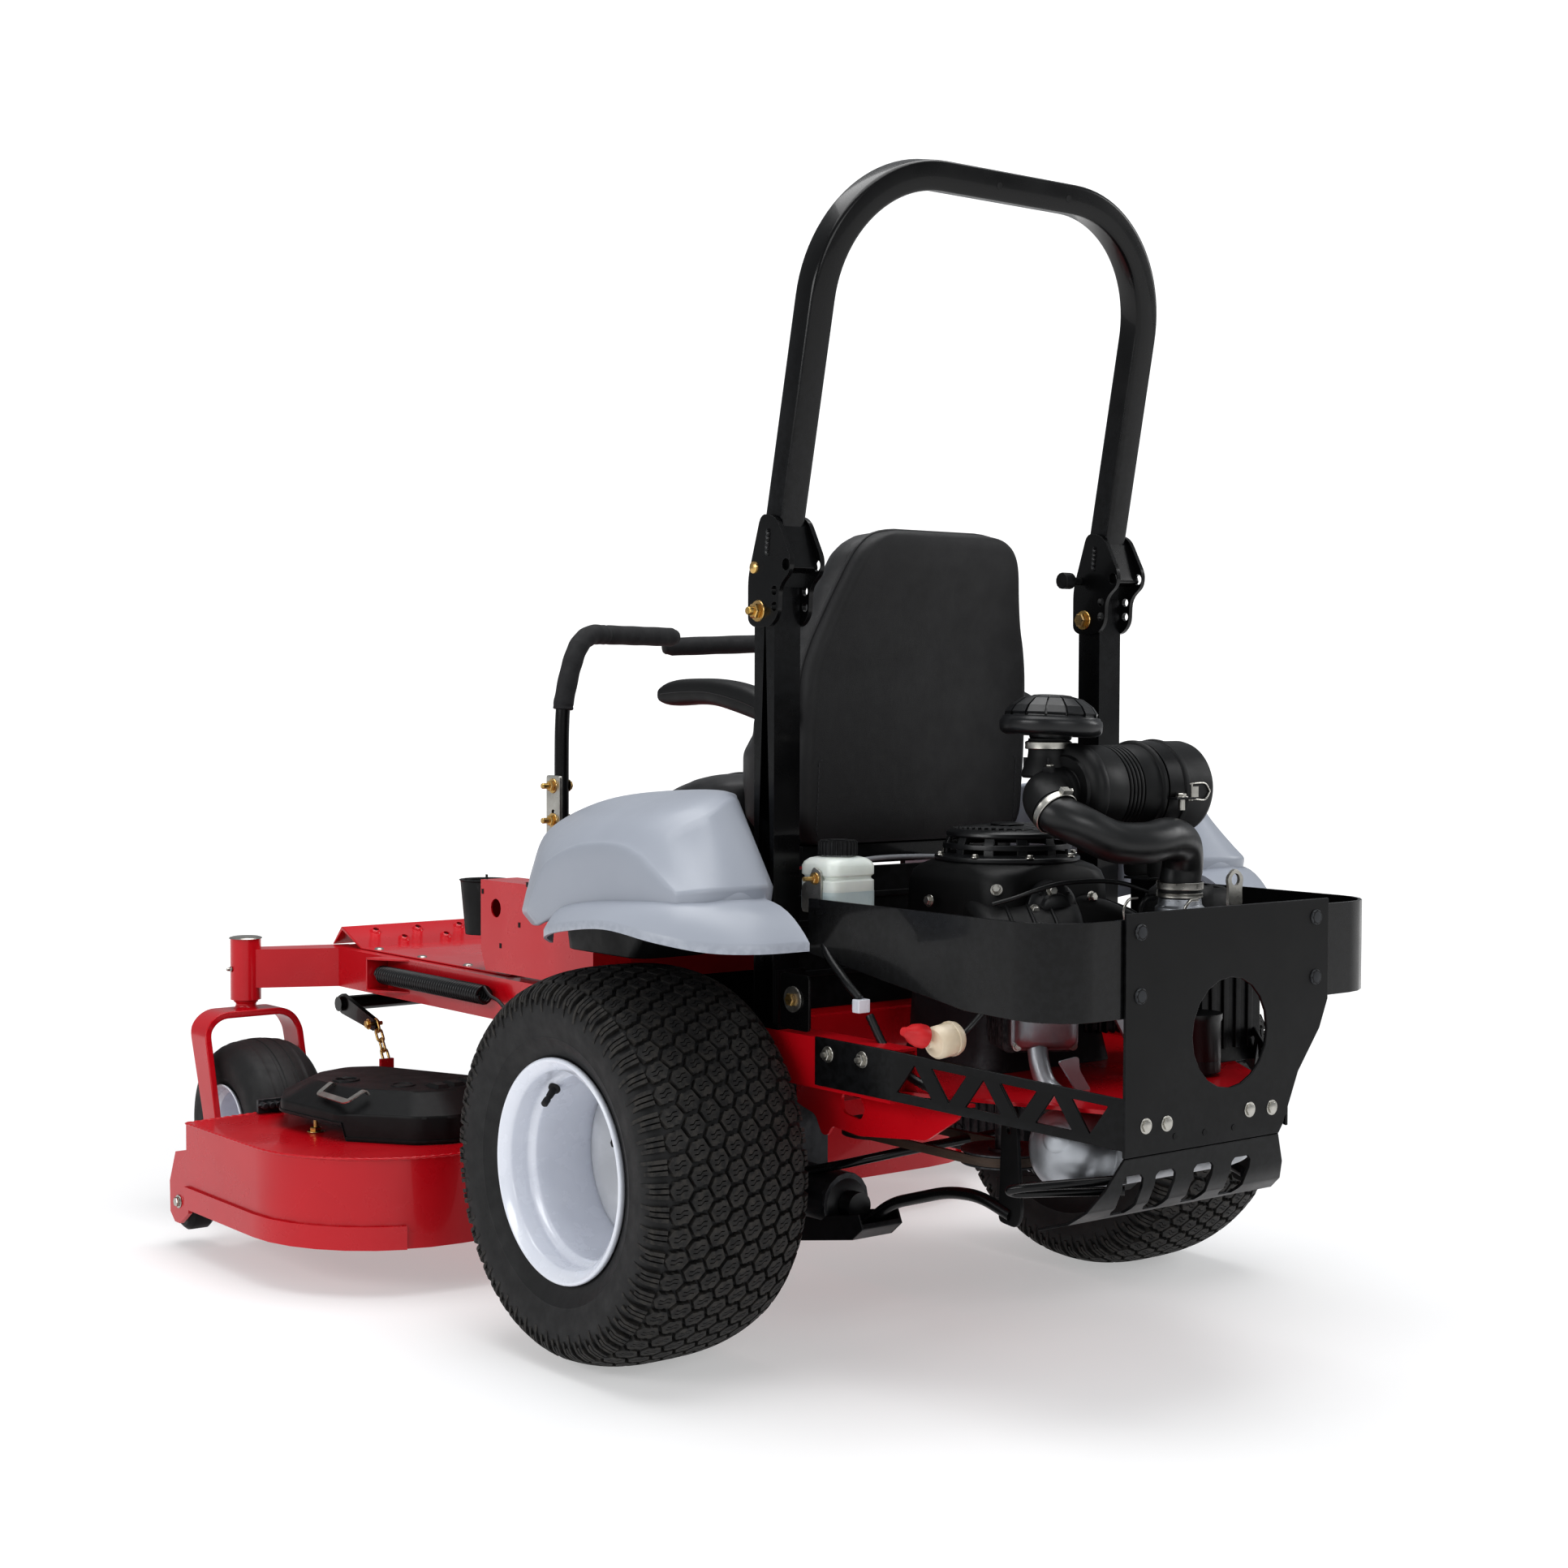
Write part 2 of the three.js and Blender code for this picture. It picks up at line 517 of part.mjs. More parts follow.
// ---- seat ---------------------------------------------------------------------------------
{
  const { halfWidth: w, panLow, panHigh, front, rear } = SEAT;
  const hinge = join(
    block([-150, front - 14, panLow + 4], [-110, front + 30, panHigh]),
    block([110, front - 14, panLow + 4], [150, front + 30, panHigh]),
  );
  const pan = cut(
    block([-w + 24, front + 10, panLow], [w - 24, rear, panHigh]),
    block([-w + 28, front + 14, panLow - 1], [w - 28, rear - 4, panHigh - 4]),
  );
  add("seat_pan", join(pan, hinge), BLACK_PAINT);
  const z = panHigh + GAP;
  const cushion = loft([
    ringAt(z, rounded(-w + 14, w - 14, -404, -128, 60, 4)),
    ringAt(z + 34, rounded(-w, w, -392, -126, 70, 4)),
    ringAt(z + 66, rounded(-w, w, -352, -126, 66, 4)),
    ringAt(z + 88, rounded(-w + 12, w - 12, -282, -128, 56, 4)),
    ringAt(z + 98, rounded(-w + 40, w - 40, -232, -134, 44, 4)),
  ]);
  add("seat_cushion", cushion, LEATHER);
  const back = loft([
    ringAt(z + 2, rounded(-w + 22, w - 22, -84, 60, 40, 3)),
    ringAt(z + 40, rounded(-w + 4, w - 4, -116, 66, 46, 3)),
    ringAt(920, rounded(-w, w, -122, 72, 46, 3)),
    ringAt(1050, rounded(-w + 6, w - 6, -66, 80, 46, 3)),
    ringAt(1130, rounded(-w + 30, w - 30, -24, 94, 42, 3)),
    ringAt(1220, rounded(-w + 62, w - 62, 12, 122, 40, 3)),
    ringAt(1262, rounded(-w + 86, w - 86, 26, 134, 38, 3)),
    ringAt(1280, rounded(-w + 130, w - 130, 44, 128, 30, 3)),
  ]);
  add("seat_back", back, LEATHER);
  const pad = prism("yz", [
    [-252, 1010], [-240, 999], [-190, 998], [-130, 1000], [-50, 988], [20, 972], [46, 968], [64, 984],
    [50, 1004],
    [10, 1026], [-90, 1042], [-200, 1042], [-246, 1028],
  ], w + 4, w + 54);
  const boss = rod([w + 1, 40, 984], [w + 5, 40, 984], 16, 16);
  addPair("armrest", join(pad, boss), BLACK_PLASTIC);
}

// ---- rear bumper, panel and guard ---------------------------------------------------------
{
  const x = 350;
  const y = PANEL.y - SHEET - GAP;
  const r = 80;
  const outline = (d) => [
    [x - d, 214], [x - d, y - r], ...arc(r - d, x - r, y - r, 0, 90, 5).slice(1),
    ...arc(r - d, -x + r, y - r, 90, 180, 5), [-x + d, 214],
  ];
  const band = prism("xy", [...outline(0), ...outline(5).toReversed()], 560, 712);
  const cutLow = prism("yz", [[200, 500], [200, 632], [560, 580], [900, 572], [900, 500]], -x - 1, x + 1);
  const mouth = block([-PANEL.halfWidth + 20, y - 12, 540], [PANEL.halfWidth - 20, y + 1, 700]);
  const brackets = [1, -1].map((s) => block([s > 0 ? 316 : -346, 166, 640], [s > 0 ? 346 : -316, 216, 646]));
  add("rear_bumper", join(cut(band, cutLow, mouth), brackets), BLACK_PAINT);

  // the lower right corner of the panel is cut back beside the exhaust guard
  const { halfWidth, low, high, opening } = PANEL;
  const panel = prism("xz", [
    [-107, low], [halfWidth, low], [halfWidth, high], [-halfWidth, high], [-halfWidth, 572],
    [-196, 530], [-149, 470],
    [-116, low + 12],
  ], PANEL.y - SHEET, PANEL.y, [circle(opening, 20, 0, 540)]);
  const studAt = (sx, sz) => rod([sx, y + 4, sz], [sx, y + 9, sz], 11, 8);
  const studs = [-185, 185].flatMap((sx) => [694, 606].map((sz) => studAt(sx, sz)));

  // a strip from the outside of each rail to the panel, lightened with triangles
  const { front, bend, end, thick, drop } = TRUSS;
  const face = RAIL.outer + GAP;
  const strip = (d, endX) => [[face + d, front], [face + d, bend], [endX + d, end], [endX + d, PANEL.y]];
  const edge = (z) => [[front, z], [bend, z], [PANEL.y, z - drop]];
  const sideView = [...edge(TRUSS.low), ...edge(TRUSS.high).toReversed()];
  const fall = (v) => (drop * (v - bend)) / (PANEL.y - bend);
  const holes = [0, 1, 2, 3, 4, 5].map((i) => {
    const v0 = bend + 16 + i * 45;
    const v1 = v0 + 34;
    const top = (v) => [v, TRUSS.high - 14 - fall(v)];
    const bottom = (v) => [v, TRUSS.low + 14 - fall(v)];
    const middle = (v0 + v1) / 2;
    const upright = [bottom(v0 - 6), bottom(v1 + 6), top(middle)];
    const corners = i % 2 ? [top(v0 - 6), bottom(middle), top(v1 + 6)] : upright;
    return prism("yz", corners, 100, 400);
  });
  const truss = (endX) => {
    const plan = [...strip(thick, endX), ...strip(0, endX).toReversed()];
    return cut(prism("xy", plan, 380, 520).intersect(prism("yz", sideView, 100, 400)), holes);
  };
  const leftTruss = truss(halfWidth - 5);
  const rightTruss = mirrored(truss(TRUSS.rightEnd));
  add("rear_panel", join(panel, studs, leftTruss, rightTruss), BLACK_PAINT);

  // guard below the panel: slotted wall, rounded under and swept forward
  const wall = [[y + 5, low - 2], [y - 1, 340], [y - 14, 312], [y - 36, 294], [y - 82, 280]];
  const inside = wall.map(([u, v]) => [u - 4, v + 3]).toReversed();
  const taper = prism("xz", [[-150, 270], [300, 270], [212, low], [-106, low]], 600, 800);
  const slots = [191, 126, 48, -31].map((sx) =>
    prism("xz", rounded(sx - 20, sx + 20, 299, 358, 6, 1), 600, 800));
  add("skid_guard", cut(prism("yz", [...wall, ...inside], -160, 304).intersect(taper), slots), BLACK_PAINT);
}

// ---- engine -------------------------------------------------------------------------------
{
  const { x, y, plate } = ENGINE;
  const base = plate + 6 + GAP;
  const shaftHole = rod([x, y, plate - 60], [x, y, 900], 17, 16);
  // one cylinder pointing rearwards, turned about the crankshaft to its place in the vee
  const cylinder = (angle) => {
    const fins = Array.from({ length: 4 }, (_, i) => {
      const d = 122 + i * 26;
      return block([-56, d, base + 50], [56, d + 11, base + 172]);
    });
    const barrel = rod([0, 60, base + 110], [0, 232, base + 110], 42, 8);
    const head = block([-50, 222, base + 56], [50, 256, base + 164]);
    const cover = loft([
      [[-42, 256, base + 64], [42, 256, base + 64], [42, 256, base + 156], [-42, 256, base + 156]],
      [[-34, 280, base + 74], [34, 280, base + 74], [34, 280, base + 146], [-34, 280, base + 146]],
    ]);
    const matrix = new THREE.Matrix4().makeRotationZ(THREE.MathUtils.degToRad(angle)).setPosition(x, y, 0);
    return placed(join(barrel, fins, head, cover), matrix);
  };
  const crankcase = loft([
    ringAt(base, rounded(x - 140, x + 140, y - 112, y + 112, 40)),
    ringAt(base + 40, rounded(x - 130, x + 130, y - 108, y + 108, 40)),
    ringAt(base + 188, rounded(x - 122, x + 122, y - 104, y + 104, 40)),
  ]);
  // carburettor at the end of the manifold, between the cylinders
  const [carbX, carbY] = [x - 76, y + 294];
  const carburettor = join(
    block([carbX - 36, carbY - 34, 640], [carbX + 36, carbY + 30, 692]),
    rod([carbX, carbY, 690], [carbX, carbY, 714], 32, 14),
    rod([carbX, carbY - 10, 664], [x - 24, y + 80, base + 150], 22, 12),
  );
  const engine = join(crankcase, cylinder(ENGINE.vee - 45), cylinder(ENGINE.vee + 45), carburettor);
  add("engine_block", cut(engine, shaftHole), CAST);

  // shroud over the crankcase, with a slotted dome above the cooling fan
  const housingLow = base + 188 + GAP;
  const domeLow = 764;
  const shroud = loft([
    ringAt(housingLow, rounded(x - 140, x + 140, y - 122, y + 120, 56, 4)),
    ringAt(housingLow + 60, rounded(x - 130, x + 130, y - 116, y + 116, 60, 4)),
    ringAt(housingLow + 108, rounded(x - 116, x + 116, y - 112, y + 112, 80, 4)),
    ringAt(domeLow - 6, rounded(x - 108, x + 108, y - 108, y + 108, 100, 4)),
    ringAt(domeLow + 4, rounded(x - 106, x + 106, y - 106, y + 106, 102, 4)),
  ]);
  const dome = turned([
    [0, 50], [60, 46], [86, 32], [100, 10], [102, -2], [98, -2], [96, 8], [82, 28], [58, 42], [0, 46],
  ], [x, y, domeLow + 4], "z", 20);
  const vents = [30, 60, 90, 120, 150, 180].flatMap((angle) => [0, 1].map((row) => {
    const matrix = new THREE.Matrix4().makeRotationZ(THREE.MathUtils.degToRad(angle));
    matrix.setPosition(x, y, domeLow);
    const half = row ? 7 : 12;
    const tall = row ? [38, 60] : [14, 30];
    return placed(block([-110 + row * 30, -half, tall[0]], [110 - row * 30, half, tall[1]]), matrix);
  })).filter((_, i) => i % 2 === 0);
  const well = rod([x, y, housingLow + 40], [x, y, domeLow + 10], 94, 18);
  add("blower_housing", join(cut(shroud, well, shaftHole), cut(dome, vents)), BLACK_PLASTIC);
  const fanLow = housingLow + 44;
  const fan = join(
    rod([x, y, plate - 44], [x, y, fanLow + 40], 14, 12),
    rod([x, y, fanLow], [x, y, domeLow - 8], 88, 18, 84),
    rod([x, y, plate - 44], [x, y, plate - 12], 56, 16),
  );
  add("engine_fan", fan, BLACK_PLASTIC);

  const { y: acY, z: acZ, radius: acR, capX, capY } = AIR_CLEANER;
  const canister = turned([
    [0, -160], [54, -160], [acR - 4, -152], [acR + 2, -142], [acR + 2, -98], [acR - 4, -92], [acR - 4, 66],
    [acR, 72], [acR, 96], [54, 106], [0, 106],
  ], [0, acY, acZ], "x", 16);
  const neck = rod([capX, capY, acZ + 20], [capX, capY, acZ + 84], 30, 10);
  const cap = turned([
    [0, 78], [56, 78], [72, 84], [77, 92], [76, 104], [64, 120], [40, 136], [0, 142],
  ], [capX, capY, acZ], "z", 18);
  const saddle = block([-150, acY - 26, 744], [-50, acY + 26, acZ - 50]);
  add("air_cleaner", join(canister, neck, cap, saddle), BLACK_PLASTIC);

  const hose = swept(bent(
    [108, acY + 4, acZ - 6], [146, acY + 12, acZ - 10], [162, acY + 44, acZ - 26], [138, 574, 832],
    [92, 594, 808], [36, 604, 804], [-20, 596, 810], [-66, 582, 798], [-80, 574, 766],
    [carbX, carbY, 736], [carbX, carbY, 717],
  ), circle(30, 10), 20);
  add("intake_hose", cut(hose, canister, block([40, acY - 60, acZ - 60], [108, acY + 60, acZ + 60])), RUBBER);

  const muffler = join(
    turned(
      [[0, -150], [40, -150], [58, -140], [62, -128], [62, 206], [56, 226], [34, 238], [0, 242]],
      [0, 612, 376], "x", 16,
    ),
    rod([-90, 612, 376], [-90, 612, 432], 18, 12),
  );
  add("muffler", muffler, ALUMINIUM);

  const tank = join(
    loft([
      ringAt(694, rounded(250, 340, 175, 258, 14)), ringAt(762, rounded(250, 340, 175, 258, 14)),
      ringAt(772, rounded(258, 332, 183, 250, 12)),
    ]),
    rod([300, 214, 770], [300, 214, 797], 30, 16),
  );
  add("hydraulic_tank", tank, CLEAR_PLASTIC);
}

// ---- hydrostatic drives -------------------------------------------------------------------
{
  const body = join(
    block([214, -92, 222], [346, 96, 384]),
    rod([330, 0, REAR_TYRE.radius], [372, 0, REAR_TYRE.radius], 68, 20),
    rod([262, 90, 240], [262, 200, 240], 44, 16),
    block([240, -60, 380], [312, 60, RAIL.low - GAP]),
  );
  addPair("transaxle", body, CAST);
}

// ---- deck ---------------------------------------------------------------------------------
{
  const { low, high, halfWidth, wall, front, spindleX, spindleY } = DECK;
  const outline = (d) => {
    const r = CHAMBER - d;
    const half = [
      [300, MID_SPINDLE_Y - CHAMBER + d], [392, -1112 + d], [440, front - 18 + d],
      [halfWidth - 150, front - 18 + d],
      [halfWidth - d, front + d], ...arc(r, spindleX, spindleY, 0, 90, 7),
    ];
    return [...half, ...half.map(([u, v]) => [-u, v]).toReversed()];
  };
  const outer = prism("xy", outline(0), low, high);
  const chamber = prism("xy", outline(wall), low - 1, high - wall);
  const opening = block([-halfWidth - 10, -985, low - 1], [-halfWidth + 60, -640, high - wall - 14]);
  const centres = [[spindleX, spindleY], [0, MID_SPINDLE_Y], [-spindleX, spindleY]];
  const hubs = centres.map(([u, v]) => rod([u, v, high - 30], [u, v, high + 34], 62, 14, 44));
  const bores = centres.map(([u, v]) => rod([u, v, low - 10], [u, v, high + 60], 20, 12));
  const band = cut(
    prism("xy", [
      [halfWidth - 40, front + 2], [halfWidth + 6, front + 2], [halfWidth + 6, spindleY],
      ...arc(CHAMBER + 6, spindleX, spindleY, 0, 68, 6), [spindleX + 90, spindleY + 200],
      [halfWidth - 40, spindleY],
    ], low, low + 40),
    chamber,
    prism("xy", outline(1), low - 1, high),
  );
  const bracketSide = [
    [front - 2, 70], [front + 4, 150], [front + 40, 196], [-1096, 176], [-1122, 118], [-1120, 62],
    [-1100, 46], [-1078, 46],
  ];
  const bracket = join(
    prism("yz", bracketSide, halfWidth - 12, halfWidth - 4),
    prism("yz", bracketSide, halfWidth - 84, halfWidth - 76),
    block([halfWidth - 84, front - 30, 150], [halfWidth - 4, front + 6, 158]),
  );
  const hangers = [[339, -1112], [300, -560]].map(([u, v]) =>
    block([u - 14, v - 6, high - 2], [u + 14, v + 2, high + 66]));
  const fittings = join(bracket, hangers);
  const shell = join(
    cut(join(outer, hubs), chamber, opening), hubs, fittings, mirrored(fittings), band, mirrored(band),
  );
  add("deck_shell", cut(shell, bores, opening), RED);

  for (const [i, name] of ["left", "center", "right"].entries()) {
    const [u, v] = centres[i];
    const spindle = join(
      rod([u, v, BLADE.z + BLADE.thick + GAP], [u, v, high + 44], 17, 12),
      rod([u, v, BLADE.z + BLADE.thick + GAP], [u, v, BLADE.z + 24], 28, 12),
      turned([[0, 0], [74, 0], [78, 4], [66, 11], [78, 18], [74, 22], [0, 22]], [u, v, high + 38], "z", 16),
    );
    add("spindle_" + name, spindle, CAST);
    const half = BLADE.length / 2;
    const plan = [
      [-half, -22], [-half + 90, -BLADE.width / 2], [half, -BLADE.width / 2], [half, 22],
      [half - 90, BLADE.width / 2],
      [-half, BLADE.width / 2],
    ];
    const turnedBlade = plan.map(([p, q]) => [u - q * (i === 1 ? -1 : 1), v + p]);
    const blade = join(
      prism("xy", i === 1 ? turnedBlade.toReversed() : turnedBlade, BLADE.z, BLADE.z + BLADE.thick),
      rod([u, v, BLADE.z - 16], [u, v, BLADE.z + 1], 18, 6),
    );
    add("blade_" + name, blade, CAST);
  }

  // moulded covers over the outer spindle pulleys
  const z = high + GAP;
  const coverLow = [
    [668, -905], [650, -720], [560, -600], [505, -575], [330, -600], [330, -700], [420, -1000],
    [520, -1040], [610, -1010],
  ];
  const coverTop = [
    [620, -890], [600, -750], [530, -650], [490, -640], [350, -650], [350, -720], [440, -960],
    [500, -985], [580, -960],
  ];
  const coverCore = (k, dz) => coverLow.map(([u, v]) => [500 + (u - 500) * k, -790 + (v + 790) * k, dz]);
  const cover = cut(
    loft([ringAt(z, coverLow), ringAt(z + 48, coverLow), ringAt(z + 82, coverTop)]),
    loft([coverCore(0.955, z - 1), coverCore(0.955, z + 46), coverCore(0.86, z + 76)]),
    block([400, -1060, z - 1], [680, -960, z + 26]),
  );
  addPair("belt_cover", cover, BLACK_PLASTIC);

  const x0 = -DECK.halfWidth - 4;
  const chute = prism("xz", [
    [x0, high - 6], [x0 - 60, high - 10], [x0 - 190, 152], [x0 - 214, 100], [x0 - 208, 98], [x0 - 182, 146],
    [x0 - 58, high - 16], [x0, high - 12],
  ], -1000, -620);
  const cheeks = [-1000, -626].map((v) => prism("xz", [
    [x0 - 8, high - 10], [x0 - 60, high - 14], [x0 - 184, 150], [x0 - 206, 102], [x0 - 120, 110],
    [x0 - 8, 176],
  ], v, v + 6));
  add("discharge_chute", join(chute, cheeks), BLACK_PLASTIC);

  const roller = turned([
    [0, -30], [9, -30], [9, -26], [26, -26], [34, -16], [34, 16], [26, 26], [9, 26], [9, 30], [0, 30],
  ],
    [halfWidth - 44, -1096, 62], "x", 14);
  addPair("anti_scalp_roller", roller, BLACK_PLASTIC);
}

// ---- deck lift ----------------------------------------------------------------------------
{
  const { y, z, reach, tipDrop } = LIFT;
  const shaft = rod([-352, y, z], [352, y, z], 15, 12);
  const arm = prism(
    "yz", [...arc(20, y, z, 90, 270, 4), ...arc(12, y + reach, z - tipDrop, -90, 90, 4)], 334, 344,
  );
  add("lift_shaft", join(shaft, arm, mirrored(arm)), BLACK_PAINT);
}

// ---- operator controls on the right console -----------------------------------------------
{
  const { high } = CONSOLE;
  const throttlePivot = high + 4.6;
  add("throttle_lever", join(
    rod([THROTTLE.x - 8, THROTTLE.y, throttlePivot], [THROTTLE.x + 8, THROTTLE.y, throttlePivot], 4, 12),
    block([THROTTLE.x - 3, THROTTLE.y - 4, throttlePivot], [THROTTLE.x + 3, THROTTLE.y + 4, high + 46]),
    rod([THROTTLE.x - 9, THROTTLE.y, high + 46], [THROTTLE.x + 9, THROTTLE.y, high + 46], 9, 10),
  ), BLACK_PLASTIC);
  const { x: knobX, y: knobY } = BLADE_SWITCH;
  add("blade_switch", join(
    rod([knobX, knobY, high - 16], [knobX, knobY, high + 22], 6, 10),
    rod([knobX, knobY, high + 6], [knobX, knobY, high + 28], 15, 14),
  ), YELLOW_PLASTIC);
  const { x: keyX, y: keyY } = KEY;
  add("ignition_key", join(
    rod([keyX, keyY, high - 16], [keyX, keyY, high + 8], 5, 10),
    block([keyX - 2, keyY - 12, high + 6], [keyX + 2, keyY + 12, high + 34]),
  ), ZINC);
}

mower.position.set(ORIGIN_SHIFT.x, ORIGIN_SHIFT.y, 0);
export default mower;
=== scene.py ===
"""Zero turn mower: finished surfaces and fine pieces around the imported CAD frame.

Shapes are drawn in millimetres in the drawing frame (X = 0 centre plane, Y = 0 rear axle, Z = 0
ground) and put into the row frame, in metres, when a piece is finished.
"""
import math

import bmesh
import bpy
from mathutils import Matrix, Vector
from mathutils.bvhtree import BVHTree


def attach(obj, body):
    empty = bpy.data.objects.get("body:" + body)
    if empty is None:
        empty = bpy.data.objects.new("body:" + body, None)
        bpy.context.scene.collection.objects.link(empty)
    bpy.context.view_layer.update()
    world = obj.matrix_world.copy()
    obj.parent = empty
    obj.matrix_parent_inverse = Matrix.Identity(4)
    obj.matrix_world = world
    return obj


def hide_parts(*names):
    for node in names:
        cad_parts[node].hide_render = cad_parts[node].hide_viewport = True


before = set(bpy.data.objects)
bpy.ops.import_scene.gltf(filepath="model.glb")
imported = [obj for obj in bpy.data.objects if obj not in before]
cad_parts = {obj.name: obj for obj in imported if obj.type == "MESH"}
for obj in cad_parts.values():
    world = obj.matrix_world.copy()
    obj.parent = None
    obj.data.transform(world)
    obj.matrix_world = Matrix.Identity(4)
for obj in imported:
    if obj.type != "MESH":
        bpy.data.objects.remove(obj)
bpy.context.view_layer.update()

SHIFT = Vector((106.0, 355.7, 0.0))
MM = 0.001
scene = bpy.context.scene
LEFT, RIGHT = 1, -1
SIDES = ((LEFT, "left"), (RIGHT, "right"))


def row(p):
    """A drawing point in millimetres as a row-frame point in metres."""
    return (Vector(p) + SHIFT) * MM


# ---- camera -------------------------------------------------------------------------------
CAMERA = dict(at=(2571.6, 2982.8, 1026.3), yaw=38.14, pitch=2.30, roll=0.18, lens=54.41, sensor=36.0)


def add_camera():
    """The photograph's view. Yaw, pitch and roll are in degrees, and the place in drawing millimetres."""
    yaw, pitch, roll = (math.radians(CAMERA[k]) for k in ("yaw", "pitch", "roll"))
    forward = Vector((-math.sin(yaw) * math.cos(pitch), -math.cos(yaw) * math.cos(pitch), -math.sin(pitch)))
    right0 = forward.cross(Vector((0, 0, 1))).normalized()
    up0 = right0.cross(forward)
    right = right0 * math.cos(roll) + up0 * math.sin(roll)
    up = -right0 * math.sin(roll) + up0 * math.cos(roll)
    data = bpy.data.cameras.new("camera")
    data.lens = CAMERA["lens"]
    data.sensor_width = CAMERA["sensor"]
    data.clip_end = 60.0
    camera = bpy.data.objects.new("camera", data)
    turn = Matrix((right, up, -forward)).transposed().to_4x4()
    camera.matrix_world = Matrix.Translation(row(CAMERA["at"])) @ turn
    scene.collection.objects.link(camera)
    scene.camera = camera


# ---- studio -------------------------------------------------------------------------------
WORLD_LIGHT = 0.3
FLOOR_HALF = 14.0
# distances from the mower, in metres, over which the floor fades into the white backdrop
FLOOR_FADE = (1.3, 4.2)
FLOOR_GLOW = 0.35
# each softbox: where it is, what it faces, its size in metres and its power in watts
SOFTBOXES = dict(
    top=((0.2, 0.2, 4.2), (0.0, 0.0, 0.6), (3.6, 3.6), 120),
    rear=((1.2, 5.0, 2.6), (0.0, 0.4, 0.7), (3.0, 1.4), 42),
    side=((5.0, 0.2, 2.4), (0.3, 0.0, 0.5), (3.2, 1.2), 60),
    far=((-4.6, 2.6, 2.8), (0.0, 0.2, 0.8), (1.6, 2.4), 50),
)


def add_light(name, at, target, size, power):
    """A rectangular soft light that faces a target."""
    data = bpy.data.lights.new(name, "AREA")
    data.shape = "RECTANGLE"
    data.size, data.size_y = size
    data.energy = power
    light = bpy.data.objects.new(name, data)
    light.location = at
    light.rotation_euler = (Vector(target) - Vector(at)).to_track_quat("-Z", "Y").to_euler()
    scene.collection.objects.link(light)


def add_world():
    """A soft, slightly blue fill, which the camera sees as plain white."""
    world = bpy.data.worlds.new("studio")
    world.use_nodes = True
    nodes, links = world.node_tree.nodes, world.node_tree.links
    soft = nodes["Background"]
    soft.inputs["Color"].default_value = (0.94, 0.97, 1.0, 1)
    soft.inputs["Strength"].default_value = WORLD_LIGHT
    plain = nodes.new("ShaderNodeBackground")
    plain.inputs["Color"].default_value = (1, 1, 1, 1)
    plain.inputs["Strength"].default_value = 1.0
    backdrop = nodes.new("ShaderNodeMixShader")
    links.new(nodes.new("ShaderNodeLightPath").outputs["Is Camera Ray"], backdrop.inputs["Fac"])
    links.new(soft.outputs["Background"], backdrop.inputs[1])
    links.new(plain.outputs["Background"], backdrop.inputs[2])
    links.new(backdrop.outputs["Shader"], nodes["World Output"].inputs["Surface"])
    scene.world = world
    scene.view_settings.view_transform = "Standard"
    scene.view_settings.look = "Medium High Contrast"


def add_floor_sheet():
    """A pale floor that glows more with distance, so that it has no edge."""
    half = FLOOR_HALF
    mesh = bpy.data.meshes.new("floor")
    mesh.from_pydata([(-half, -half, 0), (half, -half, 0), (half, half, 0), (-half, half, 0)], [],
                     [(0, 1, 2, 3)])
    floor = bpy.data.objects.new("floor", mesh)
    scene.collection.objects.link(floor)
    material = bpy.data.materials.new("floor")
    material.use_nodes = True
    nodes, links = material.node_tree.nodes, material.node_tree.links
    shader = nodes["Principled BSDF"]
    shader.inputs["Base Color"].default_value = (0.93, 0.93, 0.935, 1)
    shader.inputs["Roughness"].default_value = 0.75
    reach = nodes.new("ShaderNodeVectorMath")
    reach.operation = "LENGTH"
    links.new(nodes.new("ShaderNodeTexCoord").outputs["Object"], reach.inputs[0])
    fade = nodes.new("ShaderNodeMapRange")
    fade.interpolation_type = "SMOOTHSTEP"
    fade.inputs["From Min"].default_value, fade.inputs["From Max"].default_value = FLOOR_FADE
    fade.inputs["To Min"].default_value = FLOOR_GLOW
    links.new(reach.outputs["Value"], fade.inputs["Value"])
    blend = nodes.new("ShaderNodeMixShader")
    links.new(fade.outputs["Result"], blend.inputs["Fac"])
    links.new(shader.outputs["BSDF"], blend.inputs[1])
    links.new(nodes.new("ShaderNodeEmission").outputs["Emission"], blend.inputs[2])
    links.new(blend.outputs["Shader"], nodes["Material Output"].inputs["Surface"])
    mesh.materials.append(material)


add_camera()
add_world()
add_floor_sheet()
for box, (at, target, size, power) in SOFTBOXES.items():
    add_light(box + "_softbox", at, target, size, power)


# ---- materials ----------------------------------------------------------------------------
def rgb(r, g, b):
    """An sRGB colour, 0 to 255, as linear RGBA."""
    def linear(v):
        v /= 255.0
        return v / 12.92 if v <= 0.04045 else ((v + 0.055) / 1.055) ** 2.4
    return (linear(r), linear(g), linear(b), 1.0)


def ranged(nodes, links, source, low, high, from_low=0.3, from_high=0.7):
    """Source, from_low to from_high, as a value from low to high."""
    node = nodes.new("ShaderNodeMapRange")
    node.inputs["From Min"].default_value = from_low
    node.inputs["From Max"].default_value = from_high
    node.inputs["To Min"].default_value = low
    node.inputs["To Max"].default_value = high
    links.new(source, node.inputs["Value"])
    return node.outputs["Result"]


def add_noise(nodes, links, where, scale, detail=4.0):
    """Noise of a scale per metre, as a value from 0 to 1."""
    node = nodes.new("ShaderNodeTexNoise")
    node.inputs["Scale"].default_value = scale
    node.inputs["Detail"].default_value = detail
    node.inputs["Roughness"].default_value = 0.55
    links.new(where, node.inputs["Vector"])
    return node.outputs["Fac"]


